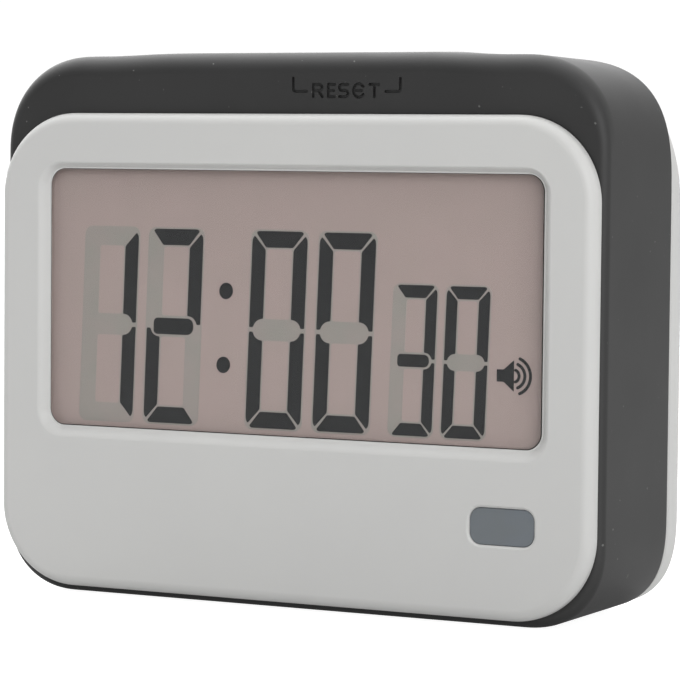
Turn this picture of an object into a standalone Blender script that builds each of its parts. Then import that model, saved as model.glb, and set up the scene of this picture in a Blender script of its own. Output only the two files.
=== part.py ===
# Digital kitchen timer: white front cover, soft dark middle frame, white rear cover, with what they hold.
# Sizes are in millimetres. X is right seen from the front, the front faces -Y, and Z = 0 is the base.
import math
from collections import namedtuple

import bmesh
import bpy
from mathutils import Vector

MM = 0.001

# Gaps and facets
GAP = 0.3
CORNER_STEPS = 8
ROUND_STEPS = 3
SMALL_SIDES = 16
LARGE_SIDES = 24
HOLE_SIDES = 10
CUT_PAST = 0.6

# Front cover: the proud plate and the skirt behind it
PLATE_WIDTH = 90.0
PLATE_HEIGHT = 65.6
PLATE_CORNER = 11.4
PLATE_PROUD = 2.6
PLATE_ROUND = 1.0
FACE_WALL = 2.0
SKIRT_INSET = 1.6
SKIRT_WALL = 1.5
SKIRT_LENGTH = 6.2

# Display window in the plate, with its soft bevel
WINDOW_SIDE_MARGIN = 7.4
WINDOW_TOP_MARGIN = 7.5
WINDOW_BOTTOM_MARGIN = 22.3
WINDOW_CORNER = 2.0
WINDOW_DEPTH = 1.3
BEVEL_LIP = 0.35
BEVEL_SIDE = 1.45
BEVEL_TOP = 1.0
BEVEL_BOTTOM = 1.7
BEVEL_STEPS = 4
BEVEL_CURVE = 1.6
WINDOW_STEPS = 5

# Display stack, front to back
LENS_LAP = 1.3
LENS_THICK = 1.0
CELL_GLASS_THICK = 2.0
CELL_GLASS_CORNER = 0.4
REFLECTOR_THICK = 0.4
REFLECTOR_STEP = 3.6
HOLDER_THICK = 3.2
HOLDER_MARGIN = 1.4
HOLDER_CORNER = 6.0
HOLDER_LEDGE = 6.4
HOLDER_OPENING_CORNER = 1.5
STRIP_LENGTH = 60.0
STRIP_WIDTH = 2.0
STRIP_EDGE = 1.2
STRIP_CORNER = 0.2
PEG_RADIUS = 0.9
PEG_EDGE = 1.4
PEG_HEIGHT = 20.0
PEG_PROUD = 0.6

# Indicator at the lower right of the plate
INDICATOR_WIDTH = 9.2
INDICATOR_HEIGHT = 4.85
INDICATOR_CORNER = 1.7
INDICATOR_FROM_RIGHT = 12.75
INDICATOR_FROM_BOTTOM = 12.4
INDICATOR_SUNK = 0.35
INDICATOR_FLARE = 0.4
INDICATOR_EDGE = 0.3
INDICATOR_STEPS = 4
INDICATOR_FLANGE = 0.7
INDICATOR_FLANGE_THICK = 0.8
LED_RADIUS = 1.5
LED_BASE_RADIUS = 1.9
LED_BASE_THICK = 1.0
LED_HEIGHT = 5.2
LED_DOME_STEPS = 4
LED_DOME_STEP = 24.0

# Middle frame, the dark band between the covers
FRAME_SIDE_MARGIN = 0.6
FRAME_BOTTOM_MARGIN = 1.0
FRAME_TOP_MARGIN = 7.9
FRAME_CORNER = 12.4
FRAME_DEPTH = 22.4
FRAME_WALL = 1.8
FRAME_FLANGE = 1.8
FRAME_ROUND = 1.1

# Rear cover
REAR_PROUD = 5.0
REAR_INSET = 0.6
REAR_WALL = 2.0
REAR_ROUND = 1.6
SPIGOT_LENGTH = 4.3
SPIGOT_WALL = 1.5

# Main circuit board
BOARD_THICK = 1.6
BOARD_INSIDE_HOLDER = 0.5
BOARD_CORNER = 3.0
BOARD_BELOW_LED = 3.0
BOARD_SCREW_X = (-20.0, 14.0)
BOARD_SCREW_BELOW = 8.5
CHIP_X = 9.0
CHIP_BELOW_TOP = 19.5
CHIP_RADIUS = 6.0
CHIP_HEIGHT = 1.7
CHIP_RINGS = 4
CHIP_RING_STEP = 20.0
CRYSTAL_FROM_SIDE = 15.5
CRYSTAL_BELOW_TOP = 19.5
CRYSTAL_RADIUS = 1.5
CRYSTAL_LENGTH = 8.0
CRYSTAL_EDGE = 0.3
CRYSTAL_END = 0.5

# Screws
CASE_SCREW_RADIUS = 1.05
CASE_SCREW_HEAD = 2.2
CASE_SCREW_HEAD_THICK = 1.5
CASE_SCREW_LENGTH = 9.0
SMALL_SCREW_RADIUS = 0.8
SMALL_SCREW_HEAD = 1.7
SMALL_SCREW_HEAD_THICK = 1.2
SMALL_SCREW_LENGTH = 6.0
CROSS_WIDTH = 0.6
CROSS_DEPTH = 0.8
SCREW_SIDES = 12
SCREW_TIP = 1.2
BOSS_RADIUS = 2.6
HEAD_CLEARANCE = 0.4
SMALL_BOSS_RADIUS = 2.1
POST_RADIUS = 3.5
POST_WEB = 1.6
LOWER_POST_FROM_BAY = 0.55
LOWER_POST_Z = 6.4
UPPER_POST_FROM_SIDE = 13.1
UPPER_POST_BELOW_TOP = 6.2

# Reset key in the top of the frame, and the side-pushed switch under it
RESET_LENGTH = 52.0
RESET_FROM_FRONT = 3.2
RESET_FROM_SPIGOT = 0.8
RESET_CORNER = 1.7
RESET_PROUD = 0.7
RESET_RAMP = 10.0
RESET_ROUND = 0.5
RESET_FLANGE = 1.0
RESET_FLANGE_THICK = 1.0
RESET_STEM_RADIUS = 1.5
KEY_TRAVEL = 0.5

# Push switches, used under every key
SWITCH_SIZE = 6.0
SWITCH_HEIGHT = 3.1
SIDE_SWITCH_TALL = 4.4
SIDE_SWITCH_THICK = 3.5
PLUNGER_RADIUS = 1.0
PLUNGER_LENGTH = 2.4
PLUNGER_PROUD = 1.0
PLUNGER_EDGE = 0.2
SWITCH_EDGE = 0.25

# Keys in the rear cover
KEY_NAMES = ("hour", "minute", "second", "start_stop")
KEY_PITCH = 15.0
KEYS_ABOVE_BAY = 23.6
KEY_LENGTH = 11.0
KEY_WIDTH = 7.0
KEY_FLANGE = 0.8
KEY_FLANGE_THICK = 1.3
KEY_ROUND = 0.6
KEY_BELOW_REAR = 0.1
PANEL_MARGIN = 3.2
PANEL_DEPTH = 0.8

# Key board behind the rear cover
KEY_BOARD_THICK = 1.2
KEY_BOARD_SIDE = 1.5
KEY_BOARD_BELOW_KEYS = 19.0
KEY_BOARD_ABOVE_KEYS = 5.5
KEY_BOARD_SCREW_X = 24.8
KEY_BOARD_SCREW_BELOW = 8.0
KEY_BOARD_LOW_SCREW = (-0.5, -16.0)
KEY_BOARD_CORNER = 1.0
RIBBON_WIDTH = 8.0
RIBBON_THICK = 0.4
RIBBON_X = -8.0
RIBBON_BELOW_KEYS = 10.0
RIBBON_DROP = 6.0
RIBBON_STEPS = 12

# Sound slide switch
SLIDER_X = 18.0
SLIDER_BELOW_KEYS = 14.0
SLIDER_TRAVEL = 3.0
SLIDER_KNOB = 4.0
SLIDER_HEIGHT = 3.2
SLIDER_SHIELD = 2.6
SLIDER_SHIELD_THICK = 0.9
SLIDER_PIN = 1.6
SLIDE_SWITCH_LENGTH = 9.0
SLIDE_SWITCH_WIDTH = 4.0
SLIDE_SLOT_DEPTH = 1.9
SLIDER_CORNER = 0.4
SLIDER_EDGE = 0.3
SLIDER_SHIELD_SIDE = 1.0
SLIDER_PIN_THICK = 1.0
SLIDER_GRIPS = 3
SLIDER_GRIP_PITCH = 1.2
SLIDER_GRIP_WIDTH = 0.6
SLIDER_GRIP_DEPTH = 0.35
SLIDER_PANEL_X = 2.0
SLIDER_PANEL_Z = 1.8

# Buzzer and its sound holes
BUZZER_X = -14.0
BUZZER_BELOW_KEYS = 13.5
BUZZER_RADIUS = 7.4
BUZZER_THICK = 0.5
BUZZER_CERAMIC = 5.0
BUZZER_CERAMIC_THICK = 0.25
BUZZER_WALL = 1.0
BUZZER_WALL_TALL = 2.4
SOUND_HOLE_RADIUS = 0.75
SOUND_HOLE_RING = 3.3
SOUND_HOLE_COUNT = 6

# Magnets in the rear face
MAGNET_RADIUS = 5.0
MAGNET_THICK = 2.1
MAGNET_EDGE = 0.2
MAGNET_FROM_SIDE = 10.6
MAGNETS_BELOW_KEYS = 14.0
MAGNET_FLOOR = 1.0
MAGNET_BOSS_WALL = 1.0

# Battery bay, cells, contacts and door
BATTERY_RADIUS = 5.25
BATTERY_LENGTH = 44.5
BATTERY_NUB_RADIUS = 1.9
BATTERY_NUB = 1.2
BATTERY_EDGE = 0.4
BATTERY_SPACE = 0.6
BAY_BOTTOM = 9.2
BAY_WALL = 1.4
BAY_CORNER = 0.6
CONTACT_THICK = 0.4
CONTACT_HALF = 4.4
SPRING_LENGTH = 5.6
SPRING_BASE_RADIUS = 3.4
SPRING_TIP_RADIUS = 2.2
SPRING_WIRE = 0.28
SPRING_TURNS = 4
SPRING_POINTS = 10
SPRING_SIDES = 6
DOOR_THICK = 1.5
DOOR_LAP = 1.0
DOOR_CORNER = 1.5
TAB_X = 15.0
TAB_WIDTH = 6.0
TAB_REACH = 1.6
TAB_THICK = 1.0
TAB_ROOT = 1.6
TAB_SWING = 0.7
SEAT_WEB = 0.1
TAB_EDGE = 0.05
DOOR_ROOT = 0.4
DOOR_EDGE = 0.2
DOOR_RIBS = 4
DOOR_RIB_PITCH = 1.6
DOOR_RIB_WIDTH = 0.6
DOOR_RIB_DEPTH = 0.35
DOOR_RIB_LENGTH = 12.0
DOOR_RIB_FROM_EDGE = 2.4
SCOOP_RADIUS = 6.0
SCOOP_DEPTH = 1.0
SCOOP_WIDTH = 10.0
LATCH_WIDTH = 8.0
LATCH_LENGTH = 2.6
LATCH_THICK = 1.0
LATCH_GAP = 0.5

Rect = namedtuple("Rect", "x0 x1 z0 z1 corner")


def grow(rect, by):
    """The rectangle with each side moved out by a distance, or in where it is negative."""
    return Rect(rect.x0 - by, rect.x1 + by, rect.z0 - by, rect.z1 + by, max(rect.corner + by, 0.2))


# Levels along Y, from the front face to the rear face
DEPTH = PLATE_PROUD + FRAME_DEPTH + REAR_PROUD
FRONT = -DEPTH / 2
FRAME_FRONT = FRONT + PLATE_PROUD
FRAME_REAR = FRAME_FRONT + FRAME_DEPTH
REAR = FRAME_REAR + REAR_PROUD
RIM_BACK = FRAME_FRONT - GAP
SKIRT_BACK = RIM_BACK + SKIRT_LENGTH
FACE_BACK = FRONT + FACE_WALL
FLANGE_BACK = FRAME_FRONT + FRAME_FLANGE
LENS_FRONT = FRONT + WINDOW_DEPTH + GAP
LENS_BACK = LENS_FRONT + LENS_THICK
GLASS_FRONT = LENS_BACK + GAP
GLASS_BACK = GLASS_FRONT + CELL_GLASS_THICK
REFLECTOR_FRONT = GLASS_BACK + GAP
REFLECTOR_BACK = REFLECTOR_FRONT + REFLECTOR_THICK
HOLDER_FRONT = REFLECTOR_BACK + GAP
HOLDER_BACK = HOLDER_FRONT + HOLDER_THICK
BOARD_FRONT = HOLDER_BACK + GAP
BOARD_BACK = BOARD_FRONT + BOARD_THICK
POST_FRONT = BOARD_BACK + GAP
SHOULDER = FRAME_REAR + GAP
SPIGOT_FRONT = SHOULDER - SPIGOT_LENGTH
REAR_INNER = REAR - REAR_WALL
DOOR_FRONT = REAR - DOOR_THICK
KEY_BOTTOM = REAR_INNER - GAP - KEY_FLANGE_THICK
SWITCH_BACK = KEY_BOTTOM - GAP - PLUNGER_PROUD
KEY_BOARD_BACK = SWITCH_BACK - SWITCH_HEIGHT - GAP
KEY_BOARD_FRONT = KEY_BOARD_BACK - KEY_BOARD_THICK

# Outlines seen from the front
PLATE = Rect(-PLATE_WIDTH / 2, PLATE_WIDTH / 2, FRAME_BOTTOM_MARGIN, FRAME_BOTTOM_MARGIN + PLATE_HEIGHT,
             PLATE_CORNER)
FRAME = Rect(PLATE.x0 - FRAME_SIDE_MARGIN, PLATE.x1 + FRAME_SIDE_MARGIN, 0.0, PLATE.z1 + FRAME_TOP_MARGIN,
             FRAME_CORNER)
CAVITY = grow(FRAME, -FRAME_WALL)
SKIRT = grow(PLATE, -SKIRT_INSET)
REAR_RECT = grow(FRAME, -REAR_INSET)
SPIGOT = grow(CAVITY, -GAP)
WINDOW = Rect(PLATE.x0 + WINDOW_SIDE_MARGIN, PLATE.x1 - WINDOW_SIDE_MARGIN,
              PLATE.z0 + WINDOW_BOTTOM_MARGIN, PLATE.z1 - WINDOW_TOP_MARGIN, WINDOW_CORNER)
POCKET = grow(WINDOW, LENS_LAP)
GLASS = POCKET._replace(corner=CELL_GLASS_CORNER)
HOLDER = grow(WINDOW, LENS_LAP + HOLDER_MARGIN - GAP)._replace(corner=HOLDER_CORNER)
INDICATOR_X = PLATE.x1 - INDICATOR_FROM_RIGHT
INDICATOR_Z = PLATE.z0 + INDICATOR_FROM_BOTTOM
INDICATOR = Rect(INDICATOR_X - INDICATOR_WIDTH / 2, INDICATOR_X + INDICATOR_WIDTH / 2,
                 INDICATOR_Z - INDICATOR_HEIGHT / 2, INDICATOR_Z + INDICATOR_HEIGHT / 2, INDICATOR_CORNER)
BOARD = Rect(HOLDER.x0 + BOARD_INSIDE_HOLDER, HOLDER.x1 - BOARD_INSIDE_HOLDER, INDICATOR_Z - BOARD_BELOW_LED,
             HOLDER.z1, BOARD_CORNER)
BOARD_SCREWS = [(x, GLASS.z0 - BOARD_SCREW_BELOW) for x in BOARD_SCREW_X]
MAGNET_X = FRAME.x1 - MAGNET_FROM_SIDE

# Battery bay, and the case screws' places beside it and in the upper corners
BAY_HALF_LENGTH = (BATTERY_LENGTH + SPRING_LENGTH + 2 * CONTACT_THICK + 4 * GAP) / 2
BAY = Rect(-BAY_HALF_LENGTH, BAY_HALF_LENGTH, BAY_BOTTOM,
           BAY_BOTTOM + 4 * BATTERY_RADIUS + 3 * BATTERY_SPACE, BAY_CORNER)
BATTERY_Y = DOOR_FRONT - GAP - BATTERY_RADIUS
BAY_FLOOR = BATTERY_Y - BATTERY_RADIUS - GAP
LOWER_BATTERY_Z = BAY.z0 + BATTERY_SPACE + BATTERY_RADIUS
UPPER_BATTERY_Z = BAY.z1 - BATTERY_SPACE - BATTERY_RADIUS
DOOR = grow(BAY, DOOR_LAP)._replace(corner=DOOR_CORNER)
LOWER_POST_X = BAY.x1 + BAY_WALL + LOWER_POST_FROM_BAY + POST_RADIUS
UPPER_POST_X = FRAME.x1 - UPPER_POST_FROM_SIDE
UPPER_POST_Z = FRAME.z1 - UPPER_POST_BELOW_TOP
LOWER_POSTS = [(-LOWER_POST_X, LOWER_POST_Z), (LOWER_POST_X, LOWER_POST_Z)]
UPPER_POSTS = [(-UPPER_POST_X, UPPER_POST_Z), (UPPER_POST_X, UPPER_POST_Z)]

# Keys stand above the bay; slider, buzzer, magnets and key board hang on the keys
KEY_Z = BAY.z1 + BAY_WALL + KEYS_ABOVE_BAY
KEYS = [((i - (len(KEY_NAMES) - 1) / 2) * KEY_PITCH, KEY_Z) for i in range(len(KEY_NAMES))]
KEY_REACH = SWITCH_SIZE / 2 + KEY_BOARD_SIDE
KEY_BOARD = Rect(KEYS[0][0] - KEY_REACH, KEYS[-1][0] + KEY_REACH, KEY_Z - KEY_BOARD_BELOW_KEYS,
                 KEY_Z + KEY_BOARD_ABOVE_KEYS, KEY_BOARD_CORNER)
KEY_BOARD_PLACES = [(-KEY_BOARD_SCREW_X, KEY_Z - KEY_BOARD_SCREW_BELOW),
                    (KEY_BOARD_SCREW_X, KEY_Z - KEY_BOARD_SCREW_BELOW),
                    (KEY_BOARD_LOW_SCREW[0], KEY_Z + KEY_BOARD_LOW_SCREW[1])]
SLIDER_Z = KEY_Z - SLIDER_BELOW_KEYS
BUZZER_Z = KEY_Z - BUZZER_BELOW_KEYS
MAGNET_Z = KEY_Z - MAGNETS_BELOW_KEYS

# Reset key, seen from above, with the switch under its stem
RESET_Y0 = FRAME_FRONT + RESET_FROM_FRONT
RESET_Y1 = SPIGOT_FRONT - RESET_FROM_SPIGOT - RESET_FLANGE
RESET_STEM_Y = BOARD_BACK + GAP + SIDE_SWITCH_THICK / 2
RESET_FLANGE_TOP = CAVITY.z1 - GAP
RESET_FLANGE_BOTTOM = RESET_FLANGE_TOP - RESET_FLANGE_THICK
SIDE_SWITCH_TOP = BOARD.z1 - GAP
RESET_STEM_BOTTOM = SIDE_SWITCH_TOP + PLUNGER_PROUD + GAP


def clear_scene():
    for thing in list(bpy.data.objects):
        bpy.data.objects.remove(thing, do_unlink=True)


def make_material(name, colour, roughness, metallic=0.0):
    """A plain finish with its own colour, roughness and metallic value."""
    finish = bpy.data.materials.new(name)
    finish.use_nodes = True
    shader = finish.node_tree.nodes["Principled BSDF"]
    shader.inputs["Base Color"].default_value = (*colour, 1.0)
    shader.inputs["Roughness"].default_value = roughness
    shader.inputs["Metallic"].default_value = metallic
    return finish


def make_finishes():
    return {
        "white": make_material("white_abs", (0.60, 0.60, 0.585), 0.42),
        "dark": make_material("soft_dark", (0.045, 0.045, 0.045), 0.75),
        "clear": make_material("clear_lens", (0.85, 0.86, 0.86), 0.08),
        "glass": make_material("lcd_glass", (0.34, 0.28, 0.27), 0.18),
        "foil": make_material("reflector_foil", (0.70, 0.70, 0.68), 0.35, 0.6),
        "black": make_material("black_plastic", (0.02, 0.02, 0.022), 0.45),
        "rubber": make_material("strip_rubber", (0.50, 0.18, 0.16), 0.7),
        "smoke": make_material("smoke_lens", (0.16, 0.18, 0.20), 0.25),
        "led": make_material("led_epoxy", (0.75, 0.10, 0.08), 0.2),
        "board": make_material("board_green", (0.03, 0.16, 0.06), 0.5),
        "steel": make_material("steel", (0.60, 0.60, 0.58), 0.35, 1.0),
        "brass": make_material("brass", (0.72, 0.52, 0.22), 0.35, 1.0),
        "grey": make_material("key_grey", (0.20, 0.20, 0.20), 0.6),
        "battery": make_material("battery_wrap", (0.10, 0.20, 0.16), 0.3),
        "ribbon": make_material("ribbon_grey", (0.42, 0.43, 0.45), 0.6),
    }


def make_object(name, mesh, finish, origin=(0.0, 0.0, 0.0)):
    """Turn a bmesh in millimetres into an object whose own origin is where it is told."""
    bmesh.ops.translate(mesh, verts=mesh.verts, vec=-Vector(origin))
    bmesh.ops.scale(mesh, verts=mesh.verts, vec=(MM, MM, MM))
    bmesh.ops.recalc_face_normals(mesh, faces=mesh.faces)
    data = bpy.data.meshes.new(name)
    mesh.to_mesh(data)
    mesh.free()
    data.shade_smooth()
    data.set_sharp_from_angle(angle=math.radians(32))
    thing = bpy.data.objects.new(name, data)
    thing.location = Vector(origin) * MM
    bpy.context.scene.collection.objects.link(thing)
    if finish:
        data.materials.append(finish)
    return thing


def add_rings(mesh, rings, loop=False):
    """Skin a row of rings of points, and close it with flat ends or back to its start."""
    layers = [[mesh.verts.new(point) for point in ring] for ring in rings]
    following = layers[1:] + layers[:1] if loop else layers[1:]
    for lower, upper in zip(layers, following):
        for i in range(len(lower)):
            j = (i + 1) % len(lower)
            mesh.faces.new((lower[i], lower[j], upper[j], upper[i]))
    if not loop:
        mesh.faces.new(list(reversed(layers[0])))
        mesh.faces.new(layers[-1])


def outline(rect, y, steps=CORNER_STEPS):
    """Points of a rectangle with round corners, at one level."""
    corner = min(rect.corner, (rect.x1 - rect.x0) / 2 - 0.01, (rect.z1 - rect.z0) / 2 - 0.01)
    centres = ((rect.x1 - corner, rect.z0 + corner, -90), (rect.x1 - corner, rect.z1 - corner, 0),
               (rect.x0 + corner, rect.z1 - corner, 90), (rect.x0 + corner, rect.z0 + corner, 180))
    points = []
    for x, z, start in centres:
        for k in range(steps + 1):
            angle = math.radians(start + 90 * k / steps)
            points.append((x + corner * math.cos(angle), y, z + corner * math.sin(angle)))
    return points


def loft(name, stations, finish=None, loop=False, steps=CORNER_STEPS, origin=(0.0, 0.0, 0.0)):
    """A body skinned through rounded rectangles, each at its own level along Y."""
    mesh = bmesh.new()
    add_rings(mesh, [outline(rect, y, steps) for rect, y in stations], loop)
    return make_object(name, mesh, finish, origin)


def rounded_edge(rect, level, radius, outwards):
    """Stations of a rounded edge, from the face at this level to the side wall.

    outwards is +1 where the body lies behind the face and -1 where it lies in front of it.
    """
    stations = []
    for k in range(ROUND_STEPS + 1):
        angle = math.pi / 2 * k / ROUND_STEPS
        station = grow(rect, -radius * (1 - math.sin(angle)))
        stations.append((station, level + outwards * radius * (1 - math.cos(angle))))
    return stations


def add_turned(mesh, profile, place, axis, sides):
    """Turn a profile of (radius, height) about an axis through a place."""
    across = {"X": (Vector((0, 1, 0)), Vector((0, 0, 1))), "Y": (Vector((0, 0, 1)), Vector((1, 0, 0))),
              "Z": (Vector((1, 0, 0)), Vector((0, 1, 0)))}[axis]
    along = across[0].cross(across[1])
    rings = []
    for radius, height in profile:
        ring = []
        for k in range(sides):
            angle = 2 * math.pi * k / sides
            ring.append(Vector(place) + along * height
                        + radius * (math.cos(angle) * across[0] + math.sin(angle) * across[1]))
        rings.append(ring)
    add_rings(mesh, rings)


def turned(name, profile, places, axis="Y", finish=None, sides=SMALL_SIDES, origin=(0.0, 0.0, 0.0)):
    """Turned bodies at one or more places, as one object."""
    mesh = bmesh.new()
    for place in places:
        add_turned(mesh, profile, place, axis, sides)
    return make_object(name, mesh, finish, origin)


def block(name, boxes, finish=None, bevel=0.0, origin=(0.0, 0.0, 0.0)):
    """Boxes given by their low and high corners, as one object, with bevelled edges where asked."""
    mesh = bmesh.new()
    for low, high in boxes:
        made = bmesh.ops.create_cube(mesh, size=1.0)["verts"]
        size = Vector(high) - Vector(low)
        bmesh.ops.scale(mesh, verts=made, vec=size)
        bmesh.ops.translate(mesh, verts=made, vec=Vector(low) + size / 2)
    if bevel:
        bmesh.ops.bevel(mesh, geom=mesh.edges[:], offset=bevel, segments=1, profile=0.5, affect="EDGES")
    return make_object(name, mesh, finish, origin)


def combine(target, operation, others):
    """Cut other bodies from a target, or fuse them to it, and keep them as hidden guides."""
    for other in others:
        step = target.modifiers.new(other.name, "BOOLEAN")
        step.operation = operation
        step.solver = "EXACT"
        step.object = other
        other.hide_render = True
        other.display_type = "WIRE"


def cut(target, *others):
    combine(target, "DIFFERENCE", others)


def fuse(target, *others):
    combine(target, "UNION", others)


def at_level(places, y):
    return [(x, y, z) for x, z in places]


def front_cover(finish):
    """The white plate with its bevelled window, the indicator opening, the skirt and the screw bosses."""
    stations = rounded_edge(PLATE, FRONT, PLATE_ROUND, 1)
    stations += [(PLATE, RIM_BACK), (SKIRT, RIM_BACK), (SKIRT, SKIRT_BACK),
                 (grow(SKIRT, -SKIRT_WALL), SKIRT_BACK), (grow(SKIRT, -SKIRT_WALL), FACE_BACK)]
    cover = loft("front_cover", stations, finish)

    flare = [(bevel_rect(1.0), FRONT - CUT_PAST)]
    for k in range(BEVEL_STEPS + 1):
        share = k / BEVEL_STEPS
        flare.append((bevel_rect(1.0 - share), FRONT + (WINDOW_DEPTH - BEVEL_LIP) * share ** BEVEL_CURVE))
    flare += [(WINDOW, FRONT + WINDOW_DEPTH), (POCKET, FRONT + WINDOW_DEPTH), (POCKET, FACE_BACK + CUT_PAST)]
    window = loft("cut_window", flare, steps=WINDOW_STEPS)

    opening = grow(INDICATOR, GAP)
    flared = [(grow(opening, (1 - k) * INDICATOR_FLARE), FRONT + k * INDICATOR_FLARE) for k in (-1, 0, 1)]
    flared.append((opening, FACE_BACK + CUT_PAST))
    indicator = loft("cut_indicator", flared, steps=INDICATOR_STEPS)

    sunk = FACE_BACK - CUT_PAST
    case_bosses = turned("add_case_bosses", [(BOSS_RADIUS, 0), (BOSS_RADIUS, BOARD_BACK - sunk)],
                         at_level(LOWER_POSTS, sunk))
    board_profile = [(SMALL_BOSS_RADIUS, 0), (SMALL_BOSS_RADIUS, HOLDER_BACK - sunk)]
    board_bosses = turned("add_board_bosses", board_profile, at_level(BOARD_SCREWS, sunk))
    fuse(cover, case_bosses, board_bosses)
    cut(cover, window, indicator, screw_holes("cut_case_screws_front", LOWER_POSTS),
        board_screw_holes("cut_board_screws_front", HOLDER_BACK + CUT_PAST))
    return cover


def bevel_rect(share):
    """The window outline opened by a share of the bevel's width on each side."""
    side = BEVEL_SIDE * share
    return Rect(WINDOW.x0 - side, WINDOW.x1 + side, WINDOW.z0 - BEVEL_BOTTOM * share,
                WINDOW.z1 + BEVEL_TOP * share, WINDOW.corner + side)


def screw_holes(name, places):
    """Blind holes for the case screws, in the bosses that they bite into."""
    bottom = BOARD_BACK - CASE_SCREW_LENGTH + POST_WEB + GAP
    reach = BOARD_BACK + CUT_PAST - bottom
    radius = CASE_SCREW_RADIUS + GAP
    return turned(name, [(radius, 0), (radius, reach)], at_level(places, bottom))


def board_screw_holes(name, top):
    radius = SMALL_SCREW_RADIUS + GAP
    bottom = BOARD_BACK + GAP - SMALL_SCREW_LENGTH - GAP
    return turned(name, [(radius, 0), (radius, top - bottom)], at_level(BOARD_SCREWS, bottom))


def display_lens(finish):
    """The clear pane in the pocket behind the window."""
    rect = grow(POCKET, -GAP)
    return loft("display_lens", [(rect, LENS_FRONT), (rect, LENS_BACK)], finish, steps=WINDOW_STEPS)


def lcd_cell(finish):
    """The liquid crystal cell: two panes, the rear one longer at the contact edges."""
    step = GLASS._replace(z0=GLASS.z0 + STRIP_EDGE, z1=GLASS.z1 - STRIP_EDGE)
    middle = (GLASS_FRONT + GLASS_BACK) / 2
    stations = [(GLASS, GLASS_FRONT), (GLASS, middle), (step, middle), (step, GLASS_BACK)]
    return loft("lcd_cell", stations, finish, steps=2)


def lcd_reflector(finish):
    rect = GLASS._replace(z0=GLASS.z0 + REFLECTOR_STEP, z1=GLASS.z1 - REFLECTOR_STEP)
    return loft("lcd_reflector", [(rect, REFLECTOR_FRONT), (rect, REFLECTOR_BACK)], finish, steps=2)


def strip_rects():
    """Where the two contact strips stand, along the upper and lower edges of the cell."""
    half = STRIP_LENGTH / 2
    upper = Rect(-half, half, GLASS.z1 - GAP - STRIP_WIDTH, GLASS.z1 - GAP, STRIP_CORNER)
    lower = Rect(-half, half, GLASS.z0 + GAP, GLASS.z0 + GAP + STRIP_WIDTH, STRIP_CORNER)
    return {"upper": upper, "lower": lower}


def peg_places():
    x = HOLDER.x1 - PEG_EDGE
    middle = (HOLDER.z0 + HOLDER.z1) / 2
    return [(side * x, middle + level * PEG_HEIGHT / 2) for side in (-1, 1) for level in (-1, 1)]


def lcd_frame(finish):
    """The black holder between cell and board, with slots for the strips and four pegs through the board."""
    inner = grow(HOLDER, -HOLDER_LEDGE)._replace(corner=HOLDER_OPENING_CORNER)
    holder = loft("lcd_frame", [(HOLDER, HOLDER_FRONT), (HOLDER, HOLDER_BACK), (inner, HOLDER_BACK),
                                (inner, HOLDER_FRONT)], finish, loop=True, steps=6)
    slots = []
    for rect in strip_rects().values():
        slots.append(((rect.x0 - GAP, HOLDER_FRONT - CUT_PAST, rect.z0 - GAP),
                      (rect.x1 + GAP, HOLDER_BACK + CUT_PAST, rect.z1 + GAP)))
    start = HOLDER_BACK - CUT_PAST
    pegs = turned("add_pegs", [(PEG_RADIUS, 0), (PEG_RADIUS, BOARD_BACK + PEG_PROUD - start)],
                  at_level(peg_places(), start), sides=HOLE_SIDES)
    fuse(holder, pegs)
    cut(holder, block("cut_strip_slots", slots))
    return holder


def contact_strips(finish):
    """The rubber strips that carry the display's signals from the board to the cell."""
    return [loft("zebra_strip_" + side, [(rect, REFLECTOR_FRONT), (rect, HOLDER_BACK)], finish, steps=1)
            for side, rect in strip_rects().items()]


def indicator_lens(finish):
    front = FRONT + INDICATOR_SUNK
    flange = grow(INDICATOR, INDICATOR_FLANGE)
    step = FACE_BACK + GAP
    stations = rounded_edge(INDICATOR, front, INDICATOR_EDGE, 1)
    stations += [(INDICATOR, step), (flange, step), (flange, step + INDICATOR_FLANGE_THICK)]
    return loft("indicator_lens", stations, finish, steps=INDICATOR_STEPS)


def indicator_led(finish):
    """A round lamp standing on the board behind the indicator lens, with a domed nose."""
    profile = [(LED_BASE_RADIUS, 0), (LED_BASE_RADIUS, -LED_BASE_THICK), (LED_RADIUS, -LED_BASE_THICK)]
    dome = LED_HEIGHT - LED_RADIUS
    for k in range(LED_DOME_STEPS):
        angle = math.radians(LED_DOME_STEP * k)
        profile.append((LED_RADIUS * math.cos(angle), -dome - LED_RADIUS * math.sin(angle)))
    return turned("indicator_led", profile, [(INDICATOR_X, BOARD_FRONT - GAP, INDICATOR_Z)], "Y", finish)


def circuit_board(finish):
    """The main board, with holes for its screws and for the holder's pegs."""
    board = loft("circuit_board", [(BOARD, BOARD_FRONT), (BOARD, BOARD_BACK)], finish, steps=4)
    hole = PEG_RADIUS + GAP
    start = BOARD_FRONT - CUT_PAST
    pegs = turned("cut_peg_holes", [(hole, 0), (hole, BOARD_THICK + 2 * CUT_PAST)],
                  at_level(peg_places(), start), sides=HOLE_SIDES)
    cut(board, pegs, board_screw_holes("cut_board_screws", BOARD_BACK + CUT_PAST))
    return board


def controller_chip(finish):
    """The domed drop of resin over the controller."""
    profile = [(CHIP_RADIUS, 0)]
    for k in range(1, CHIP_RINGS + 1):
        angle = math.radians(CHIP_RING_STEP * k)
        profile.append((CHIP_RADIUS * math.cos(angle), CHIP_HEIGHT * math.sin(angle)))
    place = (CHIP_X, BOARD_BACK + GAP, BOARD.z1 - CHIP_BELOW_TOP)
    return turned("controller_chip", profile, [place], "Y", finish)


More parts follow.
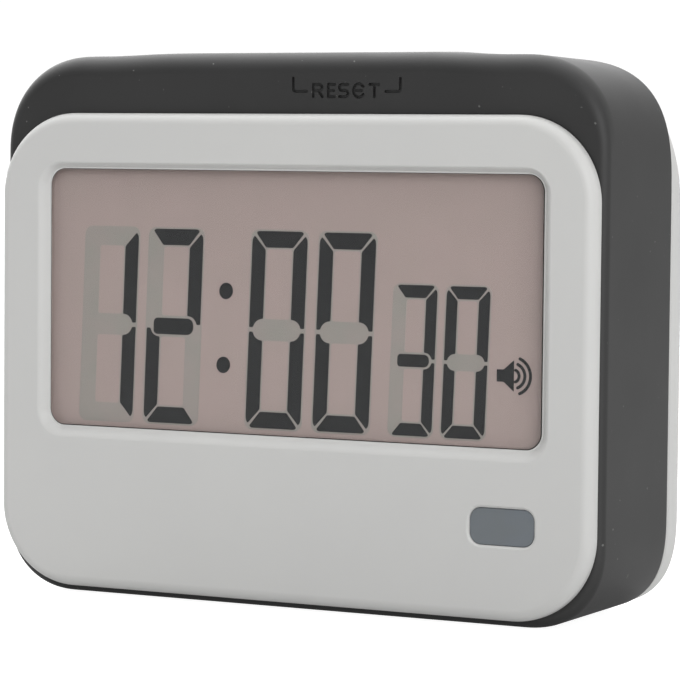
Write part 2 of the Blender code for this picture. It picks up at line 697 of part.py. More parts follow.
def crystal(finish):
    """The clock crystal in its can, lying on the board."""
    y = BOARD_BACK + GAP + CRYSTAL_RADIUS
    half = CRYSTAL_LENGTH / 2
    profile = [(CRYSTAL_RADIUS - CRYSTAL_EDGE, -half), (CRYSTAL_RADIUS, -half + CRYSTAL_EDGE),
               (CRYSTAL_RADIUS, half - CRYSTAL_END), (CRYSTAL_RADIUS - CRYSTAL_END, half)]
    place = (BOARD.x1 - CRYSTAL_FROM_SIDE, y, BOARD.z1 - CRYSTAL_BELOW_TOP)
    return turned("clock_crystal", profile, [place], "X", finish)


def screw(name, place, head, thick, radius, length, facing, finish, cross=False):
    """A pan-head screw whose head's underside is at the place; facing +1 has its head towards the rear."""
    profile = [(radius * 0.35, -length), (radius, -length + SCREW_TIP), (radius, 0), (head, 0),
               (head, thick * 0.45), (head * 0.86, thick * 0.85), (head * 0.6, thick)]
    profile = [(out, facing * height) for out, height in profile]
    made = turned(name, profile, [place], "Y", finish, sides=SCREW_SIDES, origin=place)
    if not cross:
        return made
    x, y, z = place
    top = y + facing * (thick + CUT_PAST)
    floor = y + facing * (thick - CROSS_DEPTH)
    low, high = min(top, floor), max(top, floor)
    arm = head * 0.55
    half = CROSS_WIDTH / 2
    slots = [block(name + "_slot_x", [((x - arm, low, z - half), (x + arm, high, z + half))]),
             block(name + "_slot_z", [((x - half, low, z - arm), (x + half, high, z + arm))])]
    cut(made, *slots)
    return made


def case_screws(finish):
    y = POST_FRONT + POST_WEB + GAP
    made = []
    for number, (x, z) in enumerate(LOWER_POSTS + UPPER_POSTS, 1):
        made.append(screw(f"case_screw_{number}", (x, y, z), CASE_SCREW_HEAD, CASE_SCREW_HEAD_THICK,
                          CASE_SCREW_RADIUS, CASE_SCREW_LENGTH, 1, finish, cross=True))
    return made


def board_screws(finish):
    y = BOARD_BACK + GAP
    return [screw(f"board_screw_{number}", (x, y, z), SMALL_SCREW_HEAD, SMALL_SCREW_HEAD_THICK,
                  SMALL_SCREW_RADIUS, SMALL_SCREW_LENGTH, 1, finish)
            for number, (x, z) in enumerate(BOARD_SCREWS, 1)]


def key_board_screws(finish):
    y = KEY_BOARD_FRONT - GAP
    return [screw(f"key_board_screw_{number}", (x, y, z), SMALL_SCREW_HEAD, SMALL_SCREW_HEAD_THICK,
                  SMALL_SCREW_RADIUS, SMALL_SCREW_LENGTH, -1, finish)
            for number, (x, z) in enumerate(KEY_BOARD_PLACES, 1)]


def middle_frame(finish):
    """The dark band: a deep ring with an inward front flange, open at the back, cut for the reset key."""
    stations = rounded_edge(FRAME, FRAME_FRONT, FRAME_ROUND, 1)
    stations += list(reversed(rounded_edge(FRAME, FRAME_REAR, FRAME_ROUND / 2, -1)))
    opening = grow(SKIRT, GAP)
    stations += [(CAVITY, FRAME_REAR), (CAVITY, FLANGE_BACK), (opening, FLANGE_BACK), (opening, FRAME_FRONT)]
    frame = loft("middle_frame", stations, finish, loop=True)

    start = FLANGE_BACK - CUT_PAST
    bosses = turned("add_frame_bosses", [(BOSS_RADIUS, 0), (BOSS_RADIUS, BOARD_BACK - start)],
                    at_level(UPPER_POSTS, start))
    fuse(frame, bosses)

    half = RESET_LENGTH / 2
    mesh = bmesh.new()
    slot = top_outline(half + GAP, RESET_Y0 - GAP, RESET_Y1 + GAP, RESET_CORNER + GAP)
    add_rings(mesh, [[(x, y, z) for x, y in slot] for z in (CAVITY.z1 - CUT_PAST, FRAME.z1 + CUT_PAST)])
    cut(frame, make_object("cut_reset_opening", mesh, None),
        screw_holes("cut_case_screws_frame", UPPER_POSTS))
    return frame


def top_outline(half, y0, y1, corner, along=14, steps=4):
    """A rounded rectangle seen from above, whose front half and back half have matching points."""
    front = []
    for k in range(steps + 1):
        angle = math.radians(180 + 90 * k / steps)
        front.append((-half + corner + corner * math.cos(angle), y0 + corner + corner * math.sin(angle)))
    run = 2 * (half - corner)
    front += [(-half + corner + run * k / along, y0) for k in range(1, along)]
    for k in range(steps + 1):
        angle = math.radians(270 + 90 * k / steps)
        front.append((half - corner + corner * math.cos(angle), y0 + corner + corner * math.sin(angle)))
    back = [(x, y0 + y1 - y) for x, y in front]
    return front + list(reversed(back))


def reset_height(x):
    """Height of the reset key's crown: level with the frame at its ends, proud over the middle."""
    share = min(max((RESET_LENGTH / 2 - abs(x)) / RESET_RAMP, 0.0), 1.0)
    return FRAME.z1 + RESET_PROUD * share * share * (3 - 2 * share)


def reset_key(finish):
    """The soft key in the frame's top: crowned pad, retaining flange and the stem down to its switch."""
    half = RESET_LENGTH / 2
    wide = top_outline(half + RESET_FLANGE, RESET_Y0 - RESET_FLANGE, RESET_Y1 + RESET_FLANGE,
                       RESET_CORNER + RESET_FLANGE)
    side = top_outline(half, RESET_Y0, RESET_Y1, RESET_CORNER)
    rings = [[(x, y, RESET_FLANGE_BOTTOM) for x, y in wide], [(x, y, RESET_FLANGE_TOP) for x, y in wide],
             [(x, y, RESET_FLANGE_TOP) for x, y in side]]
    for k in range(ROUND_STEPS + 1):
        angle = math.pi / 2 * k / ROUND_STEPS
        inward = RESET_ROUND * (1 - math.cos(angle))
        drop = RESET_ROUND * (1 - math.sin(angle))
        ring = top_outline(half - inward, RESET_Y0 + inward, RESET_Y1 - inward, RESET_CORNER - inward)
        rings.append([(x, y, reset_height(x) - drop) for x, y in ring])
    origin = (0.0, RESET_STEM_Y, FRAME.z1)
    mesh = bmesh.new()
    layers = [[mesh.verts.new(point) for point in ring] for ring in rings]
    for lower, upper in zip(layers, layers[1:]):
        for i in range(len(lower)):
            j = (i + 1) % len(lower)
            mesh.faces.new((lower[i], lower[j], upper[j], upper[i]))
    mesh.faces.new(list(reversed(layers[0])))
    top = layers[-1]
    last = len(top) - 1
    for i in range(len(top) // 2 - 1):
        mesh.faces.new((top[i], top[i + 1], top[last - i - 1], top[last - i]))
    key = make_object("reset_key", mesh, finish, origin)
    reach = RESET_FLANGE_BOTTOM + RESET_FLANGE_THICK / 2 - RESET_STEM_BOTTOM
    stem = turned("add_reset_stem", [(RESET_STEM_RADIUS, 0), (RESET_STEM_RADIUS, reach)],
                  [(0.0, RESET_STEM_Y, RESET_STEM_BOTTOM)], "Z")
    fuse(key, stem)
    return key


def reset_switch(housing, moving):
    """The side-pushed switch on the board's upper edge, and its plunger."""
    half = SWITCH_SIZE / 2
    y0 = BOARD_BACK + GAP
    low = (-half, y0, SIDE_SWITCH_TOP - SIDE_SWITCH_TALL)
    high = (half, y0 + SIDE_SWITCH_THICK, SIDE_SWITCH_TOP)
    body = block("reset_switch", [(low, high)], housing, bevel=SWITCH_EDGE)
    tip = SIDE_SWITCH_TOP + PLUNGER_PROUD
    bottom = tip - PLUNGER_LENGTH
    bore = PLUNGER_RADIUS + GAP
    depth = SIDE_SWITCH_TOP - bottom + GAP + KEY_TRAVEL
    cut(body, turned("cut_reset_bore", [(bore, 0), (bore, depth + CUT_PAST)],
                     [(0.0, RESET_STEM_Y, SIDE_SWITCH_TOP - depth)], "Z", sides=HOLE_SIDES))
    place = (0.0, RESET_STEM_Y, bottom)
    return [body, plunger("reset_plunger", place, "Z", moving)]


def plunger(name, place, axis, finish):
    """The moving pin of a push switch, standing on its inner end."""
    profile = [(PLUNGER_RADIUS, 0), (PLUNGER_RADIUS, PLUNGER_LENGTH - PLUNGER_EDGE),
               (PLUNGER_RADIUS - PLUNGER_EDGE, PLUNGER_LENGTH)]
    return turned(name, profile, [place], axis, finish, sides=HOLE_SIDES, origin=place)


def rear_cover(finish):
    """The white rear tub: spigot, battery bay, screw posts, buzzer ring, magnet seats and key openings."""
    stations = rounded_edge(REAR_RECT, REAR, REAR_ROUND, -1)
    inner = grow(SPIGOT, -SPIGOT_WALL)
    stations += [(REAR_RECT, SHOULDER), (SPIGOT, SHOULDER), (SPIGOT, SPIGOT_FRONT), (inner, SPIGOT_FRONT),
                 (inner, REAR_INNER)]
    cover = loft("rear_cover", stations, finish)
    inside = REAR_INNER + CUT_PAST
    outside = REAR + CUT_PAST

    tub = grow(BAY, BAY_WALL)
    bay = loft("add_bay", [(tub, BAY_FLOOR - BAY_WALL), (tub, inside)], steps=4)
    posts = turned("add_posts", [(POST_RADIUS, 0), (POST_RADIUS, inside - POST_FRONT)],
                   at_level(LOWER_POSTS + UPPER_POSTS, POST_FRONT))
    magnet_seats = [(side * MAGNET_X, MAGNET_Z) for side in (-1, 1)]
    seat_front = REAR - MAGNET_THICK - GAP - MAGNET_FLOOR
    seat = MAGNET_RADIUS + GAP + MAGNET_BOSS_WALL
    seats = turned("add_magnet_seats", [(seat, 0), (seat, inside - seat_front)],
                   at_level(magnet_seats, seat_front))
    ring_radius = BUZZER_RADIUS + GAP + BUZZER_WALL
    ring_front = REAR_INNER - BUZZER_WALL_TALL
    ring = turned("add_buzzer_ring", [(ring_radius, 0), (ring_radius, inside - ring_front)],
                  [(BUZZER_X, ring_front, BUZZER_Z)], sides=LARGE_SIDES)
    boss_front = KEY_BOARD_BACK + GAP
    boss_profile = [(SMALL_BOSS_RADIUS, 0), (SMALL_BOSS_RADIUS, inside - boss_front)]
    bosses = turned("add_key_board_bosses", boss_profile, at_level(KEY_BOARD_PLACES, boss_front))
    fuse(cover, bay, posts, seats, ring, bosses)

    def bores(name, radius, length, places, sides=SMALL_SIDES):
        return turned(name, [(radius, 0), (radius, length)], places, sides=sides)

    all_posts = LOWER_POSTS + UPPER_POSTS
    rebate = grow(DOOR, GAP)
    cut(cover,
        loft("cut_bay", [(BAY, BAY_FLOOR), (BAY, outside)], steps=2),
        loft("cut_door", [(rebate, DOOR_FRONT - GAP), (rebate, outside)], steps=4),
        tab_slots(),
        scoop(),
        bores("cut_post_bores", CASE_SCREW_HEAD + HEAD_CLEARANCE, outside - POST_FRONT - POST_WEB,
              at_level(all_posts, POST_FRONT + POST_WEB)),
        bores("cut_web_holes", CASE_SCREW_RADIUS + GAP, POST_WEB + 2 * CUT_PAST,
              at_level(all_posts, POST_FRONT - CUT_PAST), HOLE_SIDES),
        bores("cut_magnet_seats", MAGNET_RADIUS + GAP, MAGNET_THICK + GAP + CUT_PAST,
              at_level(magnet_seats, REAR - MAGNET_THICK - GAP), LARGE_SIDES),
        bores("cut_buzzer_ring", BUZZER_RADIUS + GAP, BUZZER_WALL_TALL + CUT_PAST,
              [(BUZZER_X, ring_front - CUT_PAST, BUZZER_Z)], LARGE_SIDES),
        sound_holes(),
        bores("cut_key_board_screws", SMALL_SCREW_RADIUS + GAP, SMALL_SCREW_LENGTH - KEY_BOARD_THICK,
              at_level(KEY_BOARD_PLACES, boss_front - CUT_PAST), HOLE_SIDES))
    cut(cover, *panels())
    cut(cover, *key_openings())
    return cover


def tab_slots():
    """Slots in the bay's upper wall for the door's two tabs."""
    low = REAR_INNER - GAP - TAB_THICK - TAB_SWING - GAP
    boxes = []
    for side in (-1, 1):
        x = side * TAB_X
        boxes.append(((x - TAB_WIDTH / 2 - GAP, low, BAY.z1 - CUT_PAST),
                      (x + TAB_WIDTH / 2 + GAP, DOOR_FRONT - GAP - SEAT_WEB, BAY.z1 + BAY_WALL + CUT_PAST)))
    return block("cut_tab_slots", boxes)


def scoop():
    """The shallow thumb scoop in the rear face, at the door's lower edge."""
    half = SCOOP_WIDTH / 2
    return turned("cut_scoop", [(SCOOP_RADIUS, -half), (SCOOP_RADIUS, half)],
                  [(0.0, REAR + SCOOP_RADIUS - SCOOP_DEPTH, DOOR.z0)], "X", sides=LARGE_SIDES)


def sound_holes():
    places = [(BUZZER_X, BUZZER_Z)]
    for k in range(SOUND_HOLE_COUNT):
        angle = 2 * math.pi * k / SOUND_HOLE_COUNT
        places.append((BUZZER_X + SOUND_HOLE_RING * math.cos(angle),
                       BUZZER_Z + SOUND_HOLE_RING * math.sin(angle)))
    start = REAR_INNER - CUT_PAST
    return turned("cut_sound_holes", [(SOUND_HOLE_RADIUS, 0), (SOUND_HOLE_RADIUS, REAR_WALL + 2 * CUT_PAST)],
                  at_level(places, start), sides=HOLE_SIDES)


def key_rect(place, by=0.0):
    x, z = place
    half, tall = KEY_LENGTH / 2, KEY_WIDTH / 2
    return grow(Rect(x - half, x + half, z - tall, z + tall, tall), by)


def slider_rect(by_x, by_z):
    """The slot that the slider's knob runs in, opened by a margin each way."""
    half = (SLIDER_KNOB + SLIDER_TRAVEL) / 2 + by_x
    tall = SLIDER_HEIGHT / 2 + by_z
    corner = SLIDER_CORNER + min(by_x, 2 * SLIDER_CORNER)
    return Rect(SLIDER_X - half, SLIDER_X + half, SLIDER_Z - tall, SLIDER_Z + tall, corner)


def panels():
    """Shallow panels in the rear face, so that keys and slider stay below it."""
    first, last = key_rect(KEYS[0], PANEL_MARGIN), key_rect(KEYS[-1], PANEL_MARGIN)
    keys = first._replace(x1=last.x1)
    slider = slider_rect(SLIDER_PANEL_X, SLIDER_PANEL_Z)
    floor = REAR - PANEL_DEPTH
    return [loft("cut_key_panel", [(keys, floor), (keys, REAR + CUT_PAST)], steps=5),
            loft("cut_slider_panel", [(slider, floor), (slider, REAR + CUT_PAST)], steps=4)]


def key_openings():
    inside = REAR_INNER - CUT_PAST
    made = []
    for name, place in zip(KEY_NAMES, KEYS):
        opening = key_rect(place, GAP)
        made.append(loft("cut_" + name + "_opening", [(opening, inside), (opening, REAR)], steps=5))
    slot = slider_rect(GAP, GAP)
    made.append(loft("cut_slider_slot", [(slot, inside), (slot, REAR)], steps=3))
    return made


def rear_keys(finish):
    """Four oval keys, each with a flange inside the cover that keeps it in."""
    made = []
    top = REAR - KEY_BELOW_REAR
    for name, place in zip(KEY_NAMES, KEYS):
        flange = key_rect(place, KEY_FLANGE)
        stations = [(flange, KEY_BOTTOM), (flange, REAR_INNER - GAP), (key_rect(place), REAR_INNER - GAP)]
        stations += list(reversed(rounded_edge(key_rect(place), top, KEY_ROUND, -1)))
        made.append(loft(name + "_key", stations, finish, steps=4, origin=(place[0], REAR, place[1])))
    return made


def key_switches(housing, moving):
    """A push switch and its plunger on the key board behind each key."""
    made = []
    half = SWITCH_SIZE / 2
    low = KEY_BOARD_BACK + GAP
    tip = SWITCH_BACK + PLUNGER_PROUD
    bottom = tip - PLUNGER_LENGTH
    bore = PLUNGER_RADIUS + GAP
    bore_floor = bottom - GAP - KEY_TRAVEL
    for name, (x, z) in zip(KEY_NAMES, KEYS):
        body = block(name + "_switch", [((x - half, low, z - half), (x + half, SWITCH_BACK, z + half))],
                     housing, bevel=SWITCH_EDGE)
        cut(body, turned("cut_" + name + "_bore", [(bore, 0), (bore, SWITCH_BACK + CUT_PAST - bore_floor)],
                         [(x, bore_floor, z)], "Y", sides=HOLE_SIDES))
        made += [body, plunger(name + "_plunger", (x, bottom, z), "Y", moving)]
    return made


def key_board(finish):
    board = loft("key_board", [(KEY_BOARD, KEY_BOARD_FRONT), (KEY_BOARD, KEY_BOARD_BACK)], finish, steps=2)
    hole = SMALL_SCREW_RADIUS + GAP
    cut(board, turned("cut_key_board_holes", [(hole, 0), (hole, KEY_BOARD_THICK + 2 * CUT_PAST)],
                      at_level(KEY_BOARD_PLACES, KEY_BOARD_FRONT - CUT_PAST), sides=HOLE_SIDES))
    return board


def ribbon_cable(finish):
    """The flat cable between the two boards, an easy S with a little slack."""
    start = KEY_BOARD_FRONT - GAP
    end = BOARD_BACK + GAP
    rings = []
    for k in range(RIBBON_STEPS + 1):
        share = k / RIBBON_STEPS
        y = start + (end - start) * share
        z = KEY_Z - RIBBON_BELOW_KEYS - RIBBON_DROP * share * share * (3 - 2 * share)
        slope = -RIBBON_DROP * 6 * share * (1 - share) / (end - start)
        length = math.hypot(1.0, slope)
        across_y, across_z = -slope / length, 1.0 / length
        low, high = RIBBON_X - RIBBON_WIDTH / 2, RIBBON_X + RIBBON_WIDTH / 2
        half = RIBBON_THICK / 2
        corners = ((low, -half), (high, -half), (high, half), (low, half))
        rings.append([(x, y + off * across_y, z + off * across_z) for x, off in corners])
    mesh = bmesh.new()
    add_rings(mesh, rings)
    return make_object("ribbon_cable", mesh, finish)


def sound_slider(finish):
    """The slide knob with its dust shield inside the cover and the pin into the switch."""
    x = SLIDER_X - SLIDER_TRAVEL / 2
    shield_back = REAR_INNER - GAP
    shield_front = shield_back - SLIDER_SHIELD_THICK
    half, tall = SLIDER_KNOB / 2, SLIDER_HEIGHT / 2
    knob = Rect(x - half, x + half, SLIDER_Z - tall, SLIDER_Z + tall, SLIDER_CORNER)
    shield = Rect(knob.x0 - SLIDER_SHIELD, knob.x1 + SLIDER_SHIELD, knob.z0 - SLIDER_SHIELD_SIDE,
                  knob.z1 + SLIDER_SHIELD_SIDE, SLIDER_CORNER)
    top = REAR - KEY_BELOW_REAR
    stations = [(shield, shield_front), (shield, shield_back), (knob, shield_back), (knob, top - SLIDER_EDGE),
                (grow(knob, -SLIDER_EDGE), top)]
    slider = loft("sound_slider", stations, finish, steps=2, origin=(x, REAR, SLIDER_Z))
    pin, thick = SLIDER_PIN / 2, SLIDER_PIN_THICK / 2
    pin_low = (x - pin, SWITCH_BACK - SLIDE_SLOT_DEPTH + GAP, SLIDER_Z - thick)
    pin_high = (x + pin, shield_front + SLIDER_SHIELD_THICK / 2, SLIDER_Z + thick)
    fuse(slider, block("add_slider_pin", [(pin_low, pin_high)]))
    grips = []
    for k in range(SLIDER_GRIPS):
        middle = x + (k - (SLIDER_GRIPS - 1) / 2) * SLIDER_GRIP_PITCH
        grips.append(((middle - SLIDER_GRIP_WIDTH / 2, top - SLIDER_GRIP_DEPTH, knob.z0 - CUT_PAST),
                      (middle + SLIDER_GRIP_WIDTH / 2, top + CUT_PAST, knob.z1 + CUT_PAST)))
    cut(slider, block("cut_slider_grips", grips))
    return slider


def sound_switch(finish):
    low = KEY_BOARD_BACK + GAP
    half, tall = SLIDE_SWITCH_LENGTH / 2, SLIDE_SWITCH_WIDTH / 2
    shell = ((SLIDER_X - half, low, SLIDER_Z - tall), (SLIDER_X + half, SWITCH_BACK, SLIDER_Z + tall))
    body = block("sound_switch", [shell], finish, bevel=SWITCH_EDGE)
    run = (SLIDER_PIN + SLIDER_TRAVEL) / 2 + GAP
    slot = SLIDER_PIN_THICK / 2 + GAP
    cut(body, block("cut_switch_slot", [((SLIDER_X - run, SWITCH_BACK - SLIDE_SLOT_DEPTH, SLIDER_Z - slot),
                                         (SLIDER_X + run, SWITCH_BACK + CUT_PAST, SLIDER_Z + slot))]))
    return body


def piezo_buzzer(finish):
    """The brass disc with its ceramic, lying in the ring behind the sound holes."""
    front = REAR_INNER - GAP - BUZZER_THICK
    profile = [(BUZZER_CERAMIC, -BUZZER_CERAMIC_THICK), (BUZZER_CERAMIC, 0), (BUZZER_RADIUS, 0),
               (BUZZER_RADIUS, BUZZER_THICK)]
    return turned("piezo_buzzer", profile, [(BUZZER_X, front, BUZZER_Z)], "Y", finish, sides=LARGE_SIDES)


def magnets(finish):
    profile = [(MAGNET_RADIUS - MAGNET_EDGE, 0), (MAGNET_RADIUS, MAGNET_EDGE),
               (MAGNET_RADIUS, MAGNET_THICK - MAGNET_EDGE), (MAGNET_RADIUS - MAGNET_EDGE, MAGNET_THICK)]
    front = REAR - MAGNET_THICK
    return [turned("magnet_" + side, profile, [(x, front, MAGNET_Z)], "Y", finish, sides=LARGE_SIDES)
            for side, x in (("left", -MAGNET_X), ("right", MAGNET_X))]


def battery(name, z, positive, finish):
    """A cell lying along X; positive is +1 where its nub points to +X."""
    tip = positive * (BAY_HALF_LENGTH - CONTACT_THICK - 2 * GAP)
    base = tip - positive * BATTERY_LENGTH
    step = BATTERY_LENGTH - BATTERY_NUB
    rim = BATTERY_RADIUS - BATTERY_EDGE
    profile = [(rim, 0), (BATTERY_RADIUS, BATTERY_EDGE), (BATTERY_RADIUS, step - BATTERY_EDGE), (rim, step),
               (BATTERY_NUB_RADIUS, step), (BATTERY_NUB_RADIUS, BATTERY_LENGTH)]
    profile = [(radius, positive * height) for radius, height in profile]
    return turned(name, profile, [(base, BATTERY_Y, z)], "X", finish, sides=LARGE_SIDES)


def spring_points(start, direction, z):
    """The conical contact spring's centre line, from its plate to the cell's base."""
    points = []
    count = SPRING_TURNS * SPRING_POINTS
    length = SPRING_LENGTH - SPRING_WIRE
    for k in range(count + 1):
        share = k / count
        angle = 2 * math.pi * SPRING_TURNS * share
        radius = SPRING_BASE_RADIUS + (SPRING_TIP_RADIUS - SPRING_BASE_RADIUS) * share
        points.append(Vector((start + direction * length * share, BATTERY_Y + radius * math.cos(angle),
                              z + radius * math.sin(angle))))
    return points


def least_gap(points, wire):
    """The least clear space between turns, measured between centre points over half a turn apart."""
    apart = SPRING_POINTS // 2 + 1
    distances = [(points[i] - points[j]).length
                 for i in range(len(points)) for j in range(i + apart, len(points))]
    return min(distances) - 2 * wire


def spring(name, start, direction, z):
    """A tube of round wire along the spring's centre line."""
    points = spring_points(start, direction, z)
    print(f"{name}: least gap between turns {least_gap(points, SPRING_WIRE):.2f} mm")
    rings = []
    for k, point in enumerate(points):
        before = points[max(k - 1, 0)]
        after = points[min(k + 1, len(points) - 1)]
        tangent = (after - before).normalized()
        outward = (point - Vector((point.x, BATTERY_Y, z))).normalized()
        outward = (outward - tangent * outward.dot(tangent)).normalized()
        sideways = tangent.cross(outward)
        rings.append([point + SPRING_WIRE * (math.cos(2 * math.pi * s / SPRING_SIDES) * outward
                                             + math.sin(2 * math.pi * s / SPRING_SIDES) * sideways)
                      for s in range(SPRING_SIDES)])
    mesh = bmesh.new()
    add_rings(mesh, rings)
    return make_object(name, mesh, None)


def contact_plate(name, side, z0, z1, finish):
    """A pressed plate standing at one end of the bay."""
    outer = side * (BAY_HALF_LENGTH - GAP)
    inner = outer - side * CONTACT_THICK
    low, high = min(outer, inner), max(outer, inner)
    return block(name, [((low, BATTERY_Y - CONTACT_HALF, z0), (high, BATTERY_Y + CONTACT_HALF, z1))], finish)


def battery_contacts(finish):
    """Negative contact with its spring, positive contact, and the bridge between the cells."""
    face = BAY_HALF_LENGTH - GAP - CONTACT_THICK
    root = CONTACT_THICK / 2
    upper0, upper1 = UPPER_BATTERY_Z - CONTACT_HALF, UPPER_BATTERY_Z + CONTACT_HALF
    lower0, lower1 = LOWER_BATTERY_Z - CONTACT_HALF, LOWER_BATTERY_Z + CONTACT_HALF
    negative = contact_plate("negative_contact", -1, upper0, upper1, finish)
    fuse(negative, spring("add_negative_spring", -face - root, 1, UPPER_BATTERY_Z))
    positive = contact_plate("positive_contact", -1, lower0, lower1, finish)
    bridge = contact_plate("bridge_contact", 1, lower0, upper1, finish)
    fuse(bridge, spring("add_bridge_spring", face + root, -1, LOWER_BATTERY_Z))
    return [negative, positive, bridge]


def battery_door(finish):
    """The door: flush panel with grip ribs, two hook tabs at its upper edge and a latch tongue below."""
    hinge = (0.0, REAR, DOOR.z1 + GAP / 2)
    stations = [(DOOR, DOOR_FRONT), (DOOR, REAR - DOOR_EDGE), (grow(DOOR, -DOOR_EDGE), REAR)]
    door = loft("battery_door", stations, finish, steps=3, origin=hinge)
    tab_back = REAR_INNER - GAP
    tab_front = tab_back - TAB_THICK
    tabs = []
    for side in (-1, 1):
        low, high = side * TAB_X - TAB_WIDTH / 2, side * TAB_X + TAB_WIDTH / 2
        name = "left" if side < 0 else "right"
        root = block("add_tab_root_" + name, [((low, tab_front, BAY.z1 - GAP - TAB_ROOT),
                                               (high, DOOR_FRONT + DOOR_ROOT, BAY.z1 - GAP))])
        tab_low = (low + TAB_EDGE, tab_front + TAB_EDGE, BAY.z1 - GAP - TAB_ROOT / 2)
        tab_high = (high - TAB_EDGE, tab_back, DOOR.z1 + TAB_REACH)
        reach = block("add_tab_" + name, [(tab_low, tab_high)])
        tabs += [root, reach]
    latch_bottom = BAY.z0 + LATCH_GAP
    latch = block("add_latch", [((-LATCH_WIDTH / 2, DOOR_FRONT - LATCH_LENGTH, latch_bottom),
                                 (LATCH_WIDTH / 2, DOOR_FRONT + DOOR_ROOT, latch_bottom + LATCH_THICK))])
    fuse(door, *tabs, latch)
    ribs = []
    for k in range(DOOR_RIBS):
        z = DOOR.z0 + DOOR_RIB_FROM_EDGE + DOOR_RIB_PITCH * k
        ribs.append(((-DOOR_RIB_LENGTH / 2, REAR - DOOR_RIB_DEPTH, z),
                     (DOOR_RIB_LENGTH / 2, REAR + CUT_PAST, z + DOOR_RIB_WIDTH)))
    cut(door, block("cut_grip_ribs", ribs))
    return door


def build():
    clear_scene()
    finishes = make_finishes()
    made = [
        front_cover(finishes["white"]),
        display_lens(finishes["clear"]),
        lcd_cell(finishes["glass"]),
        lcd_reflector(finishes["foil"]),
        lcd_frame(finishes["black"]),
        *contact_strips(finishes["rubber"]),
        indicator_lens(finishes["smoke"]),
        indicator_led(finishes["led"]),
        circuit_board(finishes["board"]),
        controller_chip(finishes["black"]),
        crystal(finishes["steel"]),
        *case_screws(finishes["steel"]),
        *board_screws(finishes["steel"]),
        *key_board_screws(finishes["steel"]),
        middle_frame(finishes["dark"]),
        reset_key(finishes["dark"]),
        *reset_switch(finishes["black"], finishes["grey"]),
        rear_cover(finishes["white"]),
        *rear_keys(finishes["grey"]),
        *key_switches(finishes["black"], finishes["grey"]),
        key_board(finishes["board"]),
        ribbon_cable(finishes["ribbon"]),
        sound_slider(finishes["grey"]),
        sound_switch(finishes["steel"]),
        piezo_buzzer(finishes["brass"]),
        *magnets(finishes["steel"]),
        battery("battery_upper", UPPER_BATTERY_Z, 1, finishes["battery"]),
        battery("battery_lower", LOWER_BATTERY_Z, -1, finishes["battery"]),
        *battery_contacts(finishes["steel"]),
        battery_door(finishes["white"]),
    ]
    timer = bpy.data.objects.new("kitchen_timer", None)
    bpy.context.scene.collection.objects.link(timer)
    for piece in made:
        piece.parent = timer
    print(len(made), "pieces")


build()
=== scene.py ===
import math

import bmesh
import bpy
import numpy as np
from mathutils import Matrix, Vector


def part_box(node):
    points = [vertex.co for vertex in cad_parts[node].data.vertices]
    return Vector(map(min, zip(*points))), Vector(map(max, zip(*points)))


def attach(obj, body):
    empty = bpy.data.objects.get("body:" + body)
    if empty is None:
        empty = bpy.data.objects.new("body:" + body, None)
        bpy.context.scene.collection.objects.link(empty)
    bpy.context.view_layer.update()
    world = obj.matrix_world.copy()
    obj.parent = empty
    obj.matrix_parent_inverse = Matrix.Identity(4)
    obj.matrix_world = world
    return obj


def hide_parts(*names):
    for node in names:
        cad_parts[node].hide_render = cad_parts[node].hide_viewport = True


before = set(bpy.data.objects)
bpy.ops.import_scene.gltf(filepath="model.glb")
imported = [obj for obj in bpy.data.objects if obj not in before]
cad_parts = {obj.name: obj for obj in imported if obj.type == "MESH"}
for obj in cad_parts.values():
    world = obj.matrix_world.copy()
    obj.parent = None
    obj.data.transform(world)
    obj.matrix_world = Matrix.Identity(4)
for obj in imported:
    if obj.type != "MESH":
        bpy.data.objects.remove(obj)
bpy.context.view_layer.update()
scene = bpy.context.scene
mm = 0.001

# Levels along Y in millimetres, front to back, as in the CAD part
levels = {"plateFront": -15.0, "faceBack": -13.0, "rimBack": -12.7, "bandFront": -12.4, "bandFlange": -10.6,
          "skirtBack": -6.5, "bossBack": -5.9, "boardBack": -4.0, "postFront": -3.7, "spigotFront": 6.0,
          "bandBack": 10.0, "shoulder": 10.3, "keyBottom": 11.4, "rearInner": 13.0, "doorFront": 13.5,
          "rear": 15.0}

# Outlines seen from the front: x0, x1, z0, z1, corner radius. The band's corners are in bandLook
outlines = {"plate": (-45.0, 45.0, 1.0, 66.6, 11.4), "band": (-45.6, 45.6, 0.0, 74.5),
            "window": (-37.6, 37.6, 23.3, 59.1, 2.0), "pane": (-37.3, 37.54, 23.37, 58.98, 2.3),
            "indicator": (27.84, 37.06, 10.87, 15.76, 1.6), "bay": (-26.05, 26.05, 9.2, 32.0, 0.6)}

gap = 0.3  # clearance between neighbouring pieces
past = 0.6  # how far a body that cuts or joins reaches beyond the face it meets


# The same rounded rectangle with every side moved out by a distance, or in where it is negative
def grown(rect, by):
    x0, x1, z0, z1, corner = rect
    return (x0 - by, x1 + by, z0 - by, z1 + by, max(corner + by, 0.15))


